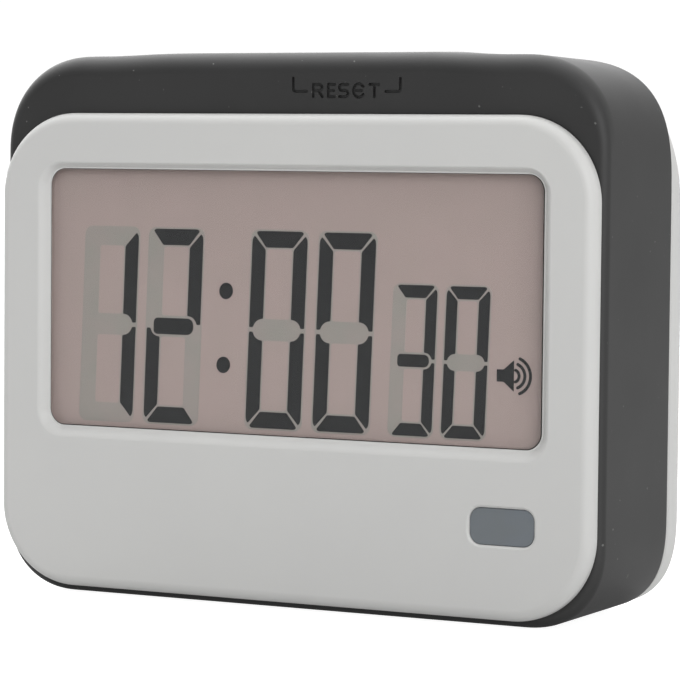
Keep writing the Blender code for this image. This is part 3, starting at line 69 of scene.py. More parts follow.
# Four corners joined by straight sides that are cut into equal steps. Each corner point lies in from the
# two sides by radius * (1 - cos a ^ (2 / power), 1 - sin a ^ (2 / power)): power 2 is a quarter circle, and
# a higher one runs out more softly
def corneredOutline(edges, radii, powers, cornerSteps, sideSteps):
    x0, x1, z0, z1 = edges
    radii, powers = np.asarray(radii, float)[:, None], np.asarray(powers, float)[:, None]
    sideX, sideZ = np.array([x1, x1, x0, x0])[:, None], np.array([z0, z1, z1, z0])[:, None]
    wayX, wayZ = np.array([1, 1, -1, -1])[:, None], np.array([-1, 1, 1, -1])[:, None]
    angle = np.radians(np.array([-90.0, 0.0, 90.0, 180.0])[:, None] + np.linspace(0, 90, cornerSteps + 1))
    arcs = np.stack([sideX - wayX * radii * (1 - np.abs(np.cos(angle)) ** (2 / powers)),
                     sideZ - wayZ * radii * (1 - np.abs(np.sin(angle)) ** (2 / powers))], -1)
    share = np.linspace(0, 1, sideSteps + 1)[1:-1, None]
    sides = arcs[:, -1:] * (1 - share) + np.roll(arcs[:, :1], -1, axis=0) * share
    return np.concatenate([arcs, sides], 1).reshape(-1, 2)


# Rounded rectangle with quarter circles at its corners
def roundedOutline(rect, cornerSteps=16):
    x0, x1, z0, z1, corner = rect
    corner = min(corner, (x1 - x0) / 2 - 0.01, (z1 - z0) / 2 - 0.01)
    return corneredOutline((x0, x1, z0, z1), [corner] * 4, [2.0] * 4, cornerSteps, 1)


# A ring of (x, z) points set at one level of y
def atLevel(points, y):
    return np.column_stack([points[:, 0], np.full(len(points), float(y)), points[:, 1]])


# A ring of (x, y) points set at one height, or at a height for each of them
def atHeight(points, z):
    return np.column_stack([points, np.broadcast_to(z, len(points))])


# Quarter round: (depth, inset) = radius * (1 - cos a, 1 - sin a), with a from 0 to 90 degrees
def quarterRound(radius, steps):
    angles = np.linspace(0, math.pi / 2, steps + 1)
    return [(radius * (1 - math.cos(a)), radius * (1 - math.sin(a))) for a in angles]


# Stations of a quarter round from a face to its side
def roundedRim(rect, level, radius, direction, steps):
    return [(grown(rect, -inset), level + direction * depth) for depth, inset in quarterRound(radius, steps)]


# Rings of equal length skinned one to the next, as one grid of four-sided faces, with the ends closed
def skin(name, rings, closed=False):
    rings = np.asarray(rings, float) * mm
    rows, count = rings.shape[:2]
    i = np.arange(rows if closed else rows - 1)[:, None]
    j = np.arange(count)[None, :]
    after, beside = (i + 1) % rows, (j + 1) % count
    faces = np.stack([i * count + j, i * count + beside, after * count + beside, after * count + j], -1)
    faces = faces.reshape(-1, 4).tolist()
    if not closed:
        faces += [list(range(count))[::-1], list(range((rows - 1) * count, rows * count))]
    return placed(name, rings.reshape(-1, 3), faces)


# Doubles are merged, then every face is turned outwards
def tidyMesh(piece):
    work = bmesh.new()
    work.from_mesh(piece.data)
    bmesh.ops.remove_doubles(work, verts=work.verts, dist=1e-7)
    bmesh.ops.recalc_face_normals(work, faces=work.faces)
    work.to_mesh(piece.data)
    work.free()


def placed(name, vertices, faces):
    mesh = bpy.data.meshes.new(name)
    mesh.from_pydata(vertices, [], faces)
    piece = bpy.data.objects.new(name, mesh)
    scene.collection.objects.link(piece)
    tidyMesh(piece)
    return piece


def loft(name, stations, cornerSteps=16, closed=False):
    return skin(name, [atLevel(roundedOutline(rect, cornerSteps), y) for rect, y in stations], closed)


# Turned body: each ring = place + height along the axis + radius * (cos a, sin a) across it
def turned(name, profile, place, axis="Y", sides=32):
    profile = np.asarray(profile, float)
    angle = np.linspace(0, 2 * math.pi, sides, endpoint=False)
    across = {"X": ((0, 1, 0), (0, 0, 1)), "Y": ((0, 0, 1), (1, 0, 0)), "Z": ((1, 0, 0), (0, 1, 0))}[axis]
    first, second = np.array(across, float)
    along = np.cross(first, second)
    circle = np.cos(angle)[:, None] * first + np.sin(angle)[:, None] * second
    rings = np.asarray(place, float) + profile[:, 1, None, None] * along + profile[:, 0, None, None] * circle
    return skin(name, rings)


def cylinder(name, radius, start, end, x, z, sides=32):
    return turned(name, [(radius, 0), (radius, end - start)], (x, start, z), "Y", sides)


# Flat shape with thickness: the outline of (x, z) points at two levels of y
def prism(name, points, front, back):
    return skin(name, [atLevel(points, front), atLevel(points, back)])


def square(x0, x1, z0, z1):
    return np.array([(x0, z0), (x1, z0), (x1, z1), (x0, z1)])


# Corners rounded: each corner point P becomes a curve (1-t)^2 A + 2t(1-t) P + t^2 B, where A and B are the
# points on its two edges at which the round starts and ends
def softened(points, radius, steps=4):
    before, after = np.roll(points, 1, axis=0) - points, np.roll(points, -1, axis=0) - points
    lengthBefore = np.linalg.norm(before, axis=1, keepdims=True)
    lengthAfter = np.linalg.norm(after, axis=1, keepdims=True)
    start = points + before / lengthBefore * np.minimum(radius, lengthBefore * 0.45)
    end = points + after / lengthAfter * np.minimum(radius, lengthAfter * 0.45)
    t = np.linspace(0, 1, steps + 1)[None, :, None]
    curve = (1 - t) ** 2 * start[:, None] + 2 * t * (1 - t) * points[:, None] + t ** 2 * end[:, None]
    return curve.reshape(-1, 2)


# Bodies cut from a piece or joined to it, then taken away
def combine(piece, operation, others):
    for other in others:
        step = piece.modifiers.new("combine", "BOOLEAN")
        step.operation, step.solver, step.object = operation, "EXACT", other
    depsgraph = bpy.context.evaluated_depsgraph_get()
    mesh = bpy.data.meshes.new_from_object(piece.evaluated_get(depsgraph))
    piece.modifiers.clear()
    piece.data = mesh
    for other in others:
        bpy.data.objects.remove(other)
    tidyMesh(piece)
    return piece


def cut(piece, *others):
    return combine(piece, "DIFFERENCE", others)


def fuse(piece, *others):
    return combine(piece, "UNION", others)


sharpAngle = 38  # edges that turn by more degrees than this stay crisp


# The last step for every new piece: smooth faces with crisp edges, its finish, its body, and what it replaces
def finished(piece, body, finish, replaced=()):
    mesh = piece.data
    mesh.materials.clear()
    mesh.materials.append(finishes[finish])
    mesh.shade_smooth()
    mesh.set_sharp_from_angle(angle=math.radians(sharpAngle))
    weighted = piece.modifiers.new("evenShading", "WEIGHTED_NORMAL")
    weighted.keep_sharp = True
    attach(piece, body)
    if replaced:
        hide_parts(*replaced)


# A node's inputs, by name or number, each linked to another node's output or set to a number or colour
def feed(tree, node, inputs):
    for key, value in inputs.items():
        socket = node.inputs[key]
        if isinstance(value, bpy.types.NodeSocket):
            tree.links.new(value, socket)
        else:
            socket.default_value = (*value, 1.0) if socket.type == "RGBA" else value


# A new node with its inputs; gives one of its outputs
def addNode(tree, kind, inputs, output=0):
    node = tree.nodes.new("ShaderNode" + kind)
    feed(tree, node, inputs)
    return node.outputs[output]


def startMaterial(name):
    material = bpy.data.materials.new(name)
    material.use_nodes = True
    tree = material.node_tree
    return material, tree, tree.nodes["Principled BSDF"], addNode(tree, "TexCoord", {}, "Object")


def noise(tree, place, scale, detail=2.0, roughness=0.5):
    inputs = {"Vector": place, "Scale": scale, "Detail": detail, "Roughness": roughness}
    return addNode(tree, "TexNoise", inputs)


def ranged(tree, value, start, end=(0.0, 1.0)):
    return addNode(tree, "MapRange", {"Value": value, "From Min": start[0], "From Max": start[1],
                                      "To Min": end[0], "To Max": end[1]})


# Two colours mixed: 6, 7 and 2 are the Mix node's sockets for colours
def mixed(tree, share, first, second):
    node = tree.nodes.new("ShaderNodeMix")
    node.data_type = "RGBA"
    feed(tree, node, {0: share, 6: first, 7: second})
    return node.outputs[2]


def bump(tree, height, strength, distance):
    return addNode(tree, "Bump", {"Height": height, "Strength": strength, "Distance": distance})


def mathNode(tree, operation, first, second=0.0):
    result = addNode(tree, "Math", {0: first, 1: second})
    result.node.operation = operation
    return result


# Shared by the finishes: the parts of a noise's range that colour and roughness spread over, and its detail
noiseLook = {"colourRange": (0.35, 0.65), "driftRange": (0.3, 0.7), "slowDetail": 3.0, "speckDetail": 1.0,
             "grainRoughness": 0.6}


# Roughness that drifts with a noise between two values
def drifting(tree, value, roughness):
    return ranged(tree, value, noiseLook["driftRange"], roughness)


# Moulded plastic: two close colours mixed by slow noise, roughness that drifts a little, fine specks where
# the look has them, and a fine spark-eroded grain with its scale, strength and depth
def mouldedPlastic(name, look):
    material, tree, shader, place = startMaterial(name)
    slow = noise(tree, place, look["patch"], noiseLook["slowDetail"])
    colour = mixed(tree, ranged(tree, slow, noiseLook["colourRange"]), look["colour"], look["shade"])
    if "speck" in look:
        dots = noise(tree, place, look["speckScale"], noiseLook["speckDetail"])
        colour = mixed(tree, ranged(tree, dots, look["speckRange"]), colour, look["speck"])
    scale, strength, depth = look["grain"]
    fine = noise(tree, place, scale, roughness=noiseLook["grainRoughness"])
    feed(tree, shader, {"Base Color": colour, "Roughness": drifting(tree, slow, look["roughness"]),
                        "Normal": bump(tree, fine, strength, depth), **look.get("sockets", {})})
    return material


plasticLooks = {
    "whiteShell": {"colour": (0.715, 0.715, 0.70), "shade": (0.70, 0.70, 0.688), "roughness": (0.36, 0.42),
                   "patch": 45.0, "grain": (5200.0, 0.12, 0.00003)},
    "softBand": {"colour": (0.030, 0.030, 0.030), "shade": (0.034, 0.034, 0.034), "roughness": (0.46, 0.54),
                 "patch": 60.0, "grain": (6500.0, 0.25, 0.00003),
                 "speck": (0.16, 0.16, 0.155), "speckScale": 1400.0, "speckRange": (0.77, 0.80)},
    "blackPlastic": {"colour": (0.020, 0.020, 0.022), "shade": (0.026, 0.026, 0.028),
                     "roughness": (0.40, 0.50), "patch": 90.0, "grain": (4200.0, 0.2, 0.00003)},
    "greyKeys": {"colour": (0.11, 0.11, 0.112), "shade": (0.125, 0.125, 0.127), "roughness": (0.50, 0.58),
                 "patch": 120.0, "grain": (6000.0, 0.2, 0.00003)},
    "smokeLens": {"colour": (0.180, 0.203, 0.226), "shade": (0.180, 0.198, 0.206), "roughness": (0.16, 0.22),
                  "patch": 150.0, "grain": (3000.0, 0.05, 0.00002)},
    "lampEpoxy": {"colour": (0.60, 0.03, 0.02), "shade": (0.52, 0.02, 0.015), "roughness": (0.10, 0.16),
                  "patch": 300.0, "grain": (2500.0, 0.05, 0.00002), "sockets": {"Transmission Weight": 0.4}},
    "darkSegments": {"colour": (0.006, 0.007, 0.008), "shade": (0.008, 0.009, 0.010),
                     "roughness": (0.60, 0.70), "patch": 200.0, "grain": (2600.0, 0.05, 0.00001),
                     "sockets": {"Specular IOR Level": 0.2}},
    # Painted shade: the dark colour of the ring along the pane's edge, standing in for the lip's shade
    "paintedShade": {"colour": (0.030, 0.027, 0.024), "shade": (0.040, 0.036, 0.032), "roughness": (0.60, 0.70),
                 "patch": 200.0, "grain": (2600.0, 0.05, 0.00001), "sockets": {"Specular IOR Level": 0.2}},
    "unlitSegments": {"colour": (0.372, 0.350, 0.316), "shade": (0.405, 0.356, 0.330),
                      "roughness": (0.42, 0.48), "patch": 190.0, "grain": (2600.0, 0.05, 0.00001),
                      "sockets": {"Specular IOR Level": 0.25}},
}
finishes = {name: mouldedPlastic(name, look) for name, look in plasticLooks.items()}
print("stage: plastics ready")


# Front pane: clear acrylic that lets light fall through onto the cell behind it
def clearPane():
    look = {"tint": (0.985, 0.99, 0.99), "roughness": (0.015, 0.03), "ior": 1.35, "haze": (220.0, 3.0)}
    material, tree, shader, place = startMaterial("clearPane")
    haze = noise(tree, place, *look["haze"])
    feed(tree, shader, {"Base Color": look["tint"], "Transmission Weight": 1.0, "IOR": look["ior"],
                        "Roughness": drifting(tree, haze, look["roughness"])})
    shadow = addNode(tree, "LightPath", {}, "Is Shadow Ray")
    through = addNode(tree, "BsdfTransparent", {})
    surface = addNode(tree, "MixShader", {0: shadow, 1: shader.outputs["BSDF"], 2: through})
    feed(tree, tree.nodes["Material Output"], {"Surface": surface})
    return material


# Display face: warm grey film over the cell, faintly mottled, with painted light along the window's edges: a
# paler colour there offsets the shade that the window's frame casts onto it
def displayFace():
    # The edge colour is painted light: paler than the middle, to lift the frame's shade near the window's
    # edges
    look = {"middle": (0.490, 0.385, 0.362), "cloud": (0.475, 0.379, 0.352), "edge": (0.515, 0.412, 0.386),
            "mottle": (160.0, 4.0), "halfWidth": 37.6, "halfHeight": 17.9, "centreZ": 41.2, "fade": 1.3,
            "roughness": 0.42, "specular": 0.25}
    material, tree, shader, place = startMaterial("displayFace")
    cloud = ranged(tree, noise(tree, place, *look["mottle"]), noiseLook["colourRange"])
    colour = mixed(tree, cloud, look["middle"], look["cloud"])
    # Painted light: over the last fade millimetres towards each window edge the colour blends to the paler
    # edge colour
    paintedLightMargins = []
    for axis, centre, half in (("X", 0.0, look["halfWidth"]), ("Z", look["centreZ"], look["halfHeight"])):
        along = addNode(tree, "SeparateXYZ", {0: place}, axis)
        offset = mathNode(tree, "ABSOLUTE", mathNode(tree, "SUBTRACT", along, centre * mm))
        paintedLightMargins.append(ranged(tree, offset, ((half - look["fade"]) * mm, half * mm)))
    colour = mixed(tree, mathNode(tree, "MAXIMUM", *paintedLightMargins), colour, look["edge"])
    feed(tree, shader, {"Base Color": colour, "Roughness": look["roughness"],
                        "Specular IOR Level": look["specular"]})
    return material


# Metal: brushed along X by a stretched noise, with small stains
brushLook = {"stretch": (40.0, 900.0, 900.0), "streak": (4.0, 3.0), "stains": (260.0, 3.0),
             "stainRange": (0.4, 0.7), "strength": 0.08, "depth": 0.00002}
metalLooks = {
    "foil": {"colour": (0.78, 0.78, 0.76), "stain": (0.70, 0.70, 0.68), "roughness": (0.30, 0.42)},
    "steel": {"colour": (0.62, 0.61, 0.59), "stain": (0.50, 0.49, 0.47), "roughness": (0.24, 0.38)},
    "nickel": {"colour": (0.66, 0.65, 0.62), "stain": (0.58, 0.57, 0.55), "roughness": (0.20, 0.32),
               "stretch": (300.0, 300.0, 300.0)},
    "brass": {"colour": (0.74, 0.53, 0.22), "stain": (0.62, 0.42, 0.16), "roughness": (0.26, 0.40)},
}


def metal(name, look):
    look = {**brushLook, **look}
    material, tree, shader, place = startMaterial(name)
    stretched = addNode(tree, "Mapping", {"Vector": place, "Scale": look["stretch"]})
    streak = noise(tree, stretched, *look["streak"])
    stains = ranged(tree, noise(tree, place, *look["stains"]), look["stainRange"])
    feed(tree, shader, {"Base Color": mixed(tree, stains, look["colour"], look["stain"]), "Metallic": 1.0,
                        "Roughness": drifting(tree, streak, look["roughness"]),
                        "Normal": bump(tree, streak, look["strength"], look["depth"])})
    return material


# Board: green solder mask over a faint net of copper lines, the borders of a cell pattern
def circuitBoard():
    look = {"mask": (0.012, 0.115, 0.040), "track": (0.020, 0.165, 0.060), "cell": 420.0, "uneven": 0.35,
            "lineRange": (0.05, 0.09), "strength": 0.15, "depth": 0.00003, "roughness": 0.35}
    material, tree, shader, place = startMaterial("board")
    cells = {"Vector": place, "Scale": look["cell"], "Randomness": look["uneven"]}
    border = addNode(tree, "TexVoronoi", cells, "Distance")
    border.node.feature = "DISTANCE_TO_EDGE"
    line = ranged(tree, border, look["lineRange"], (1.0, 0.0))
    feed(tree, shader, {"Base Color": mixed(tree, line, look["mask"], look["track"]),
                        "Roughness": look["roughness"],
                        "Normal": bump(tree, line, look["strength"], look["depth"])})
    return material


# Stripes across X: a wave that runs along it, between two colours
stripeLooks = {
    "zebra": {"scale": 900.0, "first": (0.44, 0.13, 0.11), "second": (0.06, 0.05, 0.05),
              "roughness": (0.60, 0.70)},
    "ribbon": {"scale": 250.0, "first": (0.38, 0.39, 0.41), "second": (0.24, 0.25, 0.27),
               "roughness": (0.45, 0.55)},
}


def striped(name, look):
    shared = {"edge": (0.42, 0.58), "grain": 1500.0, "strength": 0.3, "depth": 0.00004}
    material, tree, shader, place = startMaterial(name)
    wave = addNode(tree, "TexWave", {"Vector": place, "Scale": look["scale"], "Distortion": 0.0}, "Fac")
    wave.node.bands_direction = "X"
    stripes = mixed(tree, ranged(tree, wave, shared["edge"]), look["first"], look["second"])
    grain = noise(tree, place, shared["grain"])
    feed(tree, shader, {"Base Color": stripes, "Roughness": drifting(tree, grain, look["roughness"]),
                        "Normal": bump(tree, wave, shared["strength"], shared["depth"])})
    return material


# Cell wrap: a dark printed sleeve with fine scuffs, a wide bright band towards the nub, and the steel nub.
# The band and the nub start at a distance along X in millimetres, over a short fade
def cellWrap(name, direction):
    look = {"sleeve": (0.018, 0.060, 0.045), "band": (0.46, 0.30, 0.09), "scuff": (0.05, 0.10, 0.08),
            "steel": (0.62, 0.62, 0.60), "bandFrom": 9.0, "bandFade": 0.15, "nubFrom": 21.4, "nubFade": 0.05,
            "scuffs": (700.0, 5.0, 0.7), "scuffRange": (0.60, 0.70), "metallic": (0.35, 1.0),
            "roughness": (0.22, 0.36)}
    material, tree, shader, place = startMaterial(name)
    along = mathNode(tree, "MULTIPLY", addNode(tree, "SeparateXYZ", {0: place}, "X"), direction)
    starts = [(look[part + "From"], look[part + "Fade"]) for part in ("band", "nub")]
    band, nub = [ranged(tree, along, (start * mm, (start + fade) * mm)) for start, fade in starts]
    scuffs = noise(tree, place, *look["scuffs"])
    colour = mixed(tree, ranged(tree, scuffs, look["scuffRange"]), look["sleeve"], look["scuff"])
    colour = mixed(tree, nub, mixed(tree, band, colour, look["band"]), look["steel"])
    feed(tree, shader, {"Base Color": colour, "Metallic": ranged(tree, nub, (0.0, 1.0), look["metallic"]),
                        "Roughness": drifting(tree, scuffs, look["roughness"])})
    return material


finishes.update({name: metal(name, look) for name, look in metalLooks.items()})
finishes.update({name: striped(name, look) for name, look in stripeLooks.items()})
finishes.update({"clearPane": clearPane(), "displayFace": displayFace(), "board": circuitBoard(),
                 "wrapRight": cellWrap("wrapRight", 1.0), "wrapLeft": cellWrap("wrapLeft", -1.0)})
print("stage: other finishes ready")


# Bosses as x, z, radius
frontLook = {"edgeRound": 1.6, "edgeSteps": 10, "skirtInset": 1.6, "skirtWall": 1.5, "windowDepth": 1.3,
             "lip": 0.04, "ledge": 0.2, "bevelSide": 1.3, "bevelTop": 0.78, "bevelBottom": 1.45,
             "bevelCurve": 1.6, "bevelSteps": 14, "windowSteps": 14, "lensLap": 1.3, "indicatorFlare": 0.4,
             "flareSteps": 5, "indicatorSteps": 12, "cornerSteps": 24, "caseBosses": (31.5, 6.4, 2.6),
             "boardBosses": ((-20.0, 14.0), 13.5, 2.1)}


# The ledge's outline opened by a share of the bevel's width on each side
def bevelRect(share):
    x0, x1, z0, z1, corner = grown(outlines["pane"], frontLook["ledge"])
    side = frontLook["bevelSide"] * share
    return (x0 - side, x1 + side, z0 - frontLook["bevelBottom"] * share, z1 + frontLook["bevelTop"] * share,
            corner + side)


# Depth along the bevel = full depth * (1 - share) ^ curve, so that it leaves the face softly and ends at a
# flat ledge. The indicator's opening flares by size * (1 - k)^2 at a depth of size * k
def frontCoverShell():
    look, plate, front, back = frontLook, outlines["plate"], levels["plateFront"], levels["faceBack"]
    skirt = grown(plate, -look["skirtInset"])
    inside = grown(skirt, -look["skirtWall"])
    stations = roundedRim(plate, front, look["edgeRound"], 1, look["edgeSteps"])
    stations += [(plate, levels["rimBack"]), (skirt, levels["rimBack"]), (skirt, levels["skirtBack"]),
                 (inside, levels["skirtBack"]), (inside, back)]
    shell = loft("frontCoverShell", stations, look["cornerSteps"])
    caseX, caseZ, caseRadius = look["caseBosses"]
    boardXs, boardZ, boardRadius = look["boardBosses"]
    fuse(shell, *[cylinder("boss", caseRadius, back - past, levels["boardBack"], x, caseZ)
                  for x in (-caseX, caseX)],
         *[cylinder("boss", boardRadius, back - past, levels["bossBack"], x, boardZ) for x in boardXs])
    share = np.linspace(1, 0, look["bevelSteps"] + 1)
    depth = (look["windowDepth"] - look["lip"]) * (1 - share) ** look["bevelCurve"]
    pane, pocket = outlines["pane"], grown(outlines["window"], look["lensLap"])
    bottom = front + look["windowDepth"]
    window = [(bevelRect(1.0), front - past)] + [(bevelRect(s), front + d) for s, d in zip(share, depth)]
    window += [(pane, bottom - look["lip"]), (pane, bottom), (pocket, bottom), (pocket, back + past)]
    opening, size = outlines["indicator"], look["indicatorFlare"]
    throat = [(grown(opening, size * (1 - k) ** 2), front + k * size)
              for k in np.linspace(0, 1, look["flareSteps"] + 1)]
    throat = [(throat[0][0], front - past)] + throat + [(opening, back + past)]
    cut(shell, loft("window", window, look["windowSteps"]), loft("indicator", throat, look["indicatorSteps"]))
    finished(shell, "case", "whiteShell", ["front_cover"])


# Painted shade where the pane meets the cover: a dark flat ring on the pane that stands in for the shade
# along the window's lip, wider at the right and the bottom. Its widths are added to the pane's x0, x1, z0, z1
# and corner
def paneShadeRing():
    look = {"widths": (0.05, -0.17, 0.13, -0.06, -0.1), "thick": 0.03, "steps": 20}
    outer = outlines["pane"]
    inner = [side + width for side, width in zip(outer, look["widths"])]
    back = levels["plateFront"] + frontLook["windowDepth"]
    front = back - look["thick"]
    stations = [(outer, front), (outer, back), (inner, back), (inner, front)]
    finished(loft("paneShadeRing", stations, look["steps"], closed=True), "case", "paintedShade")


frontCoverShell()
paneShadeRing()
print("stage: front cover ready")


# Corners as radius and power: tighter at the front edge, long and soft at the back. Posts as x, z, radius
bandLook = {"frontTop": (12.1, 2.2), "frontBottom": (11.0, 2.2), "backTop": (18.4, 3.0),
            "backBottom": (14.2, 3.0), "edgeRound": 1.25, "edgeSteps": 10, "topRound": 2.9, "topSteps": 6,
            "backRound": 0.55, "backSteps": 5, "depthSteps": 12, "wall": 1.8, "cornerSteps": 28,
            "sideSteps": 20, "posts": (32.5, 68.3, 2.6),
            "resetHalf": 26.0, "resetFront": -9.2, "resetBack": 4.2, "resetCorner": 1.7, "slotGap": 0.25,
            "slotDeep": 2.4, "slotHigh": 1.2, "mouth": 0.22, "mouthSteps": 5, "lift": 0.35, "liftHalf": 31.0,
            "liftRamp": 12.0, "liftBack": 4.5, "liftFade": 4.0}
markLook = {"depth": 0.4, "stroke": 0.42, "letterBottom": 68.91, "letterTop": 70.53, "stagger": 0.004}


# Smooth step from 0 to 1: s^2 * (3 - 2s)
def smoothStep(value):
    share = np.clip(value, 0, 1)
    return share ** 2 * (3 - 2 * share)


# Height that the top gains over the reset key: lift * smooth step from both ends * smooth step from behind
def topLift(x, y):
    look = bandLook
    along = smoothStep((look["liftHalf"] - np.abs(x)) / look["liftRamp"])
    return look["lift"] * along * smoothStep((look["liftBack"] + look["liftFade"] - y) / look["liftFade"])


# Outline of the band at a level of y, moved out by a distance, or by another one at the top. Its corners
# blend from the front to the back
def bandRing(y, by=0.0, topBy=None):
    look, band = bandLook, outlines["band"]
    share = np.clip((y - levels["bandFront"]) / (levels["bandBack"] - levels["bandFront"]), 0, 1)
    top = np.array(look["frontTop"]) * (1 - share) + np.array(look["backTop"]) * share
    bottom = np.array(look["frontBottom"]) * (1 - share) + np.array(look["backBottom"]) * share
    radii = np.array([bottom[0], top[0], top[0], bottom[0]]) + by
    edges = (band[0] - by, band[1] + by, band[2] - by, band[3] + (by if topBy is None else topBy))
    ring = atLevel(corneredOutline(edges, radii, [bottom[1], top[1], top[1], bottom[1]], look["cornerSteps"],
                                   look["sideSteps"]), y)
    ring[:, 2] += topLift(ring[:, 0], ring[:, 1]) * (ring[:, 2] > outlines["plate"][3])
    return ring


# A rounded rectangle seen from above, cut into steps along its length so that it can follow the crown
def topOutline(half, y0, y1, corner, along=26, steps=8):
    angle = np.radians(np.linspace(180, 270, steps + 1))
    left = np.column_stack([-half + corner + corner * np.cos(angle), y0 + corner + corner * np.sin(angle)])
    right = np.column_stack([-left[::-1, 0], left[::-1, 1]])
    x = np.linspace(-half + corner, half - corner, along + 1)[1:-1]
    front = np.concatenate([left, np.column_stack([x, np.full(len(x), float(y0))]), right])
    back = np.column_stack([front[:, 0], y0 + y1 - front[:, 1]])[::-1]
    return np.concatenate([front, back])


# Outline of the reset key moved out by a distance
def resetRing(by, leastCorner=0.04):
    half, y0, y1, corner = (bandLook[k] for k in ("resetHalf", "resetFront", "resetBack", "resetCorner"))
    return topOutline(half + by, y0 - by, y1 + by, max(corner + by, leastCorner))


# Height of the top at each point of a ring: the band's height + its lift
def topHeight(ring):
    return outlines["band"][3] + topLift(ring[:, 0], ring[:, 1])


# A stroke of even width along a line: points offset to both sides of it, with half-round ends
def strokeOutline(line, width):
    line = np.asarray(line, float)
    step = np.gradient(line, axis=0)
    step /= np.linalg.norm(step, axis=1, keepdims=True)
    side = np.column_stack([-step[:, 1], step[:, 0]]) * width / 2
    turn = np.radians(np.linspace(90, -90, 7)[1:-1])[:, None]

    def cap(point, way):
        across = np.array([-way[1], way[0]])
        return point + width / 2 * (np.cos(turn) * way + np.sin(turn) * across)

    return np.concatenate([line + side, cap(line[-1], step[-1]), (line - side)[::-1], cap(line[0], -step[0])])


# Points on an ellipse between two angles, in degrees
def arcLine(x, z, radiusX, radiusZ, start, end, count=12):
    angle = np.radians(np.linspace(start, end, count))
    return np.column_stack([x + radiusX * np.cos(angle), z + radiusZ * np.sin(angle)])


# Strokes of the marking over the band's front, in millimetres: two corner brackets and the word RESET in
# plain stroke letters
def markStrokes():
    low, high = markLook["letterBottom"], markLook["letterTop"]
    middle = (low + high) / 2
    bowl = (high - middle) / 2
    joined = lambda *lines: np.concatenate([np.asarray(line, float) for line in lines])
    return [
        joined([(0.0, 71.36)], arcLine(0.36, 69.98, 0.36, 0.36, 180, 270), [(2.02, 69.62)]),
        joined([(13.85, 69.60)], arcLine(15.62, 69.96, 0.36, 0.36, 270, 360), [(15.98, 71.30)]),
        [(3.02, low), (3.02, high)],
        joined([(3.02, high)], arcLine(3.90, middle + bowl, 0.45, bowl, 90, -90), [(3.02, middle)]),
        [(3.80, middle), (4.38, low)],
        [(5.28, low), (5.28, high)],
        [(5.28, high), (6.22, high)],
        [(5.28, middle), (6.10, middle)],
        [(5.28, low), (6.22, low)],
        joined([(8.22, high)], arcLine(7.38, middle + bowl, 0.45, bowl, 90, 270),
               arcLine(7.80, middle - bowl, 0.45, bowl, 90, -90), [(6.95, low)]),
        arcLine(9.86, middle, 0.82, (high - low) / 2 + 0.06, 40, 322, 22),
        [(9.08, middle), (10.28, middle)],
        [(11.48, high), (12.80, high)],
        [(12.16, high), (12.16, low)],
    ]


# How far a quarter round has still to run out to its side, at a depth: sqrt(r^2 - (r - depth)^2) - r
def roundedBy(radius, depth):
    return math.sqrt(radius ** 2 - max(0.0, radius - depth) ** 2) - radius


# Ring with an inward flange and a rounded front edge, whose round is wider along the top. It is cut for the
# reset key and engraved with the marking
def softBandRing():
    look = bandLook
    front, back, flange = levels["bandFront"], levels["bandBack"], levels["bandFlange"]
    edge, top = look["edgeRound"], look["topRound"]
    depths = [depth for depth, inset in quarterRound(edge, look["edgeSteps"])]
    depths += [edge + (top - edge) * i / look["topSteps"] for i in range(1, look["topSteps"] + 1)]
    rings = [bandRing(front + depth, roundedBy(edge, depth), roundedBy(top, depth)) for depth in depths]
    middle = np.linspace(front + top, back - look["backRound"], look["depthSteps"] + 1)[1:-1]
    rings += [bandRing(y) for y in middle]
    backEdge = quarterRound(look["backRound"], look["backSteps"])[::-1]
    rings += [bandRing(back - depth, -inset) for depth, inset in backEdge]
    *sides, corner = grown(outlines["plate"], gap - frontLook["skirtInset"])
    opening = corneredOutline(sides, [corner] * 4, [2.0] * 4, look["cornerSteps"], look["sideSteps"])
    rings += [bandRing(back, -look["wall"]), bandRing(flange, -look["wall"]), atLevel(opening, flange),
              atLevel(opening, front)]
    ring = skin("softBandRing", rings, closed=True)
    postX, postZ, postRadius = look["posts"]
    fuse(ring, *[cylinder("post", postRadius, flange - past, levels["boardBack"], x, postZ)
                 for x in (-postX, postX)])
    height, narrow = outlines["band"][3], look["slotGap"]
    slot = [atHeight(resetRing(narrow), height - look["slotDeep"])]
    for wider, drop in quarterRound(look["mouth"], look["mouthSteps"]):
        mouth = resetRing(narrow + wider)
        slot.append(atHeight(mouth, topHeight(mouth) - drop))
    slot.append(atHeight(resetRing(narrow + look["mouth"]), height + look["slotHigh"]))
    marks = []
    for number, line in enumerate(markStrokes()):
        spare = markLook["stagger"] * number
        marks.append(prism("mark", strokeOutline(line, markLook["stroke"]), front - past - spare,
                           front + markLook["depth"] + spare))
    cut(ring, skin("keyHole", slot), *marks)
    finished(ring, "case", "softBand", ["middle_frame"])


softBandRing()
print("stage: band ready")


resetLook = {"edgeRound": 0.45, "crown": 0.2, "flange": 1.0, "flangeTop": 72.4, "flangeBottom": 71.4,
             "stemRadius": 1.5, "stemY": -1.95, "stemPast": 0.5, "roundSteps": 6, "crownSteps": 7,
             "middleGap": 0.05}


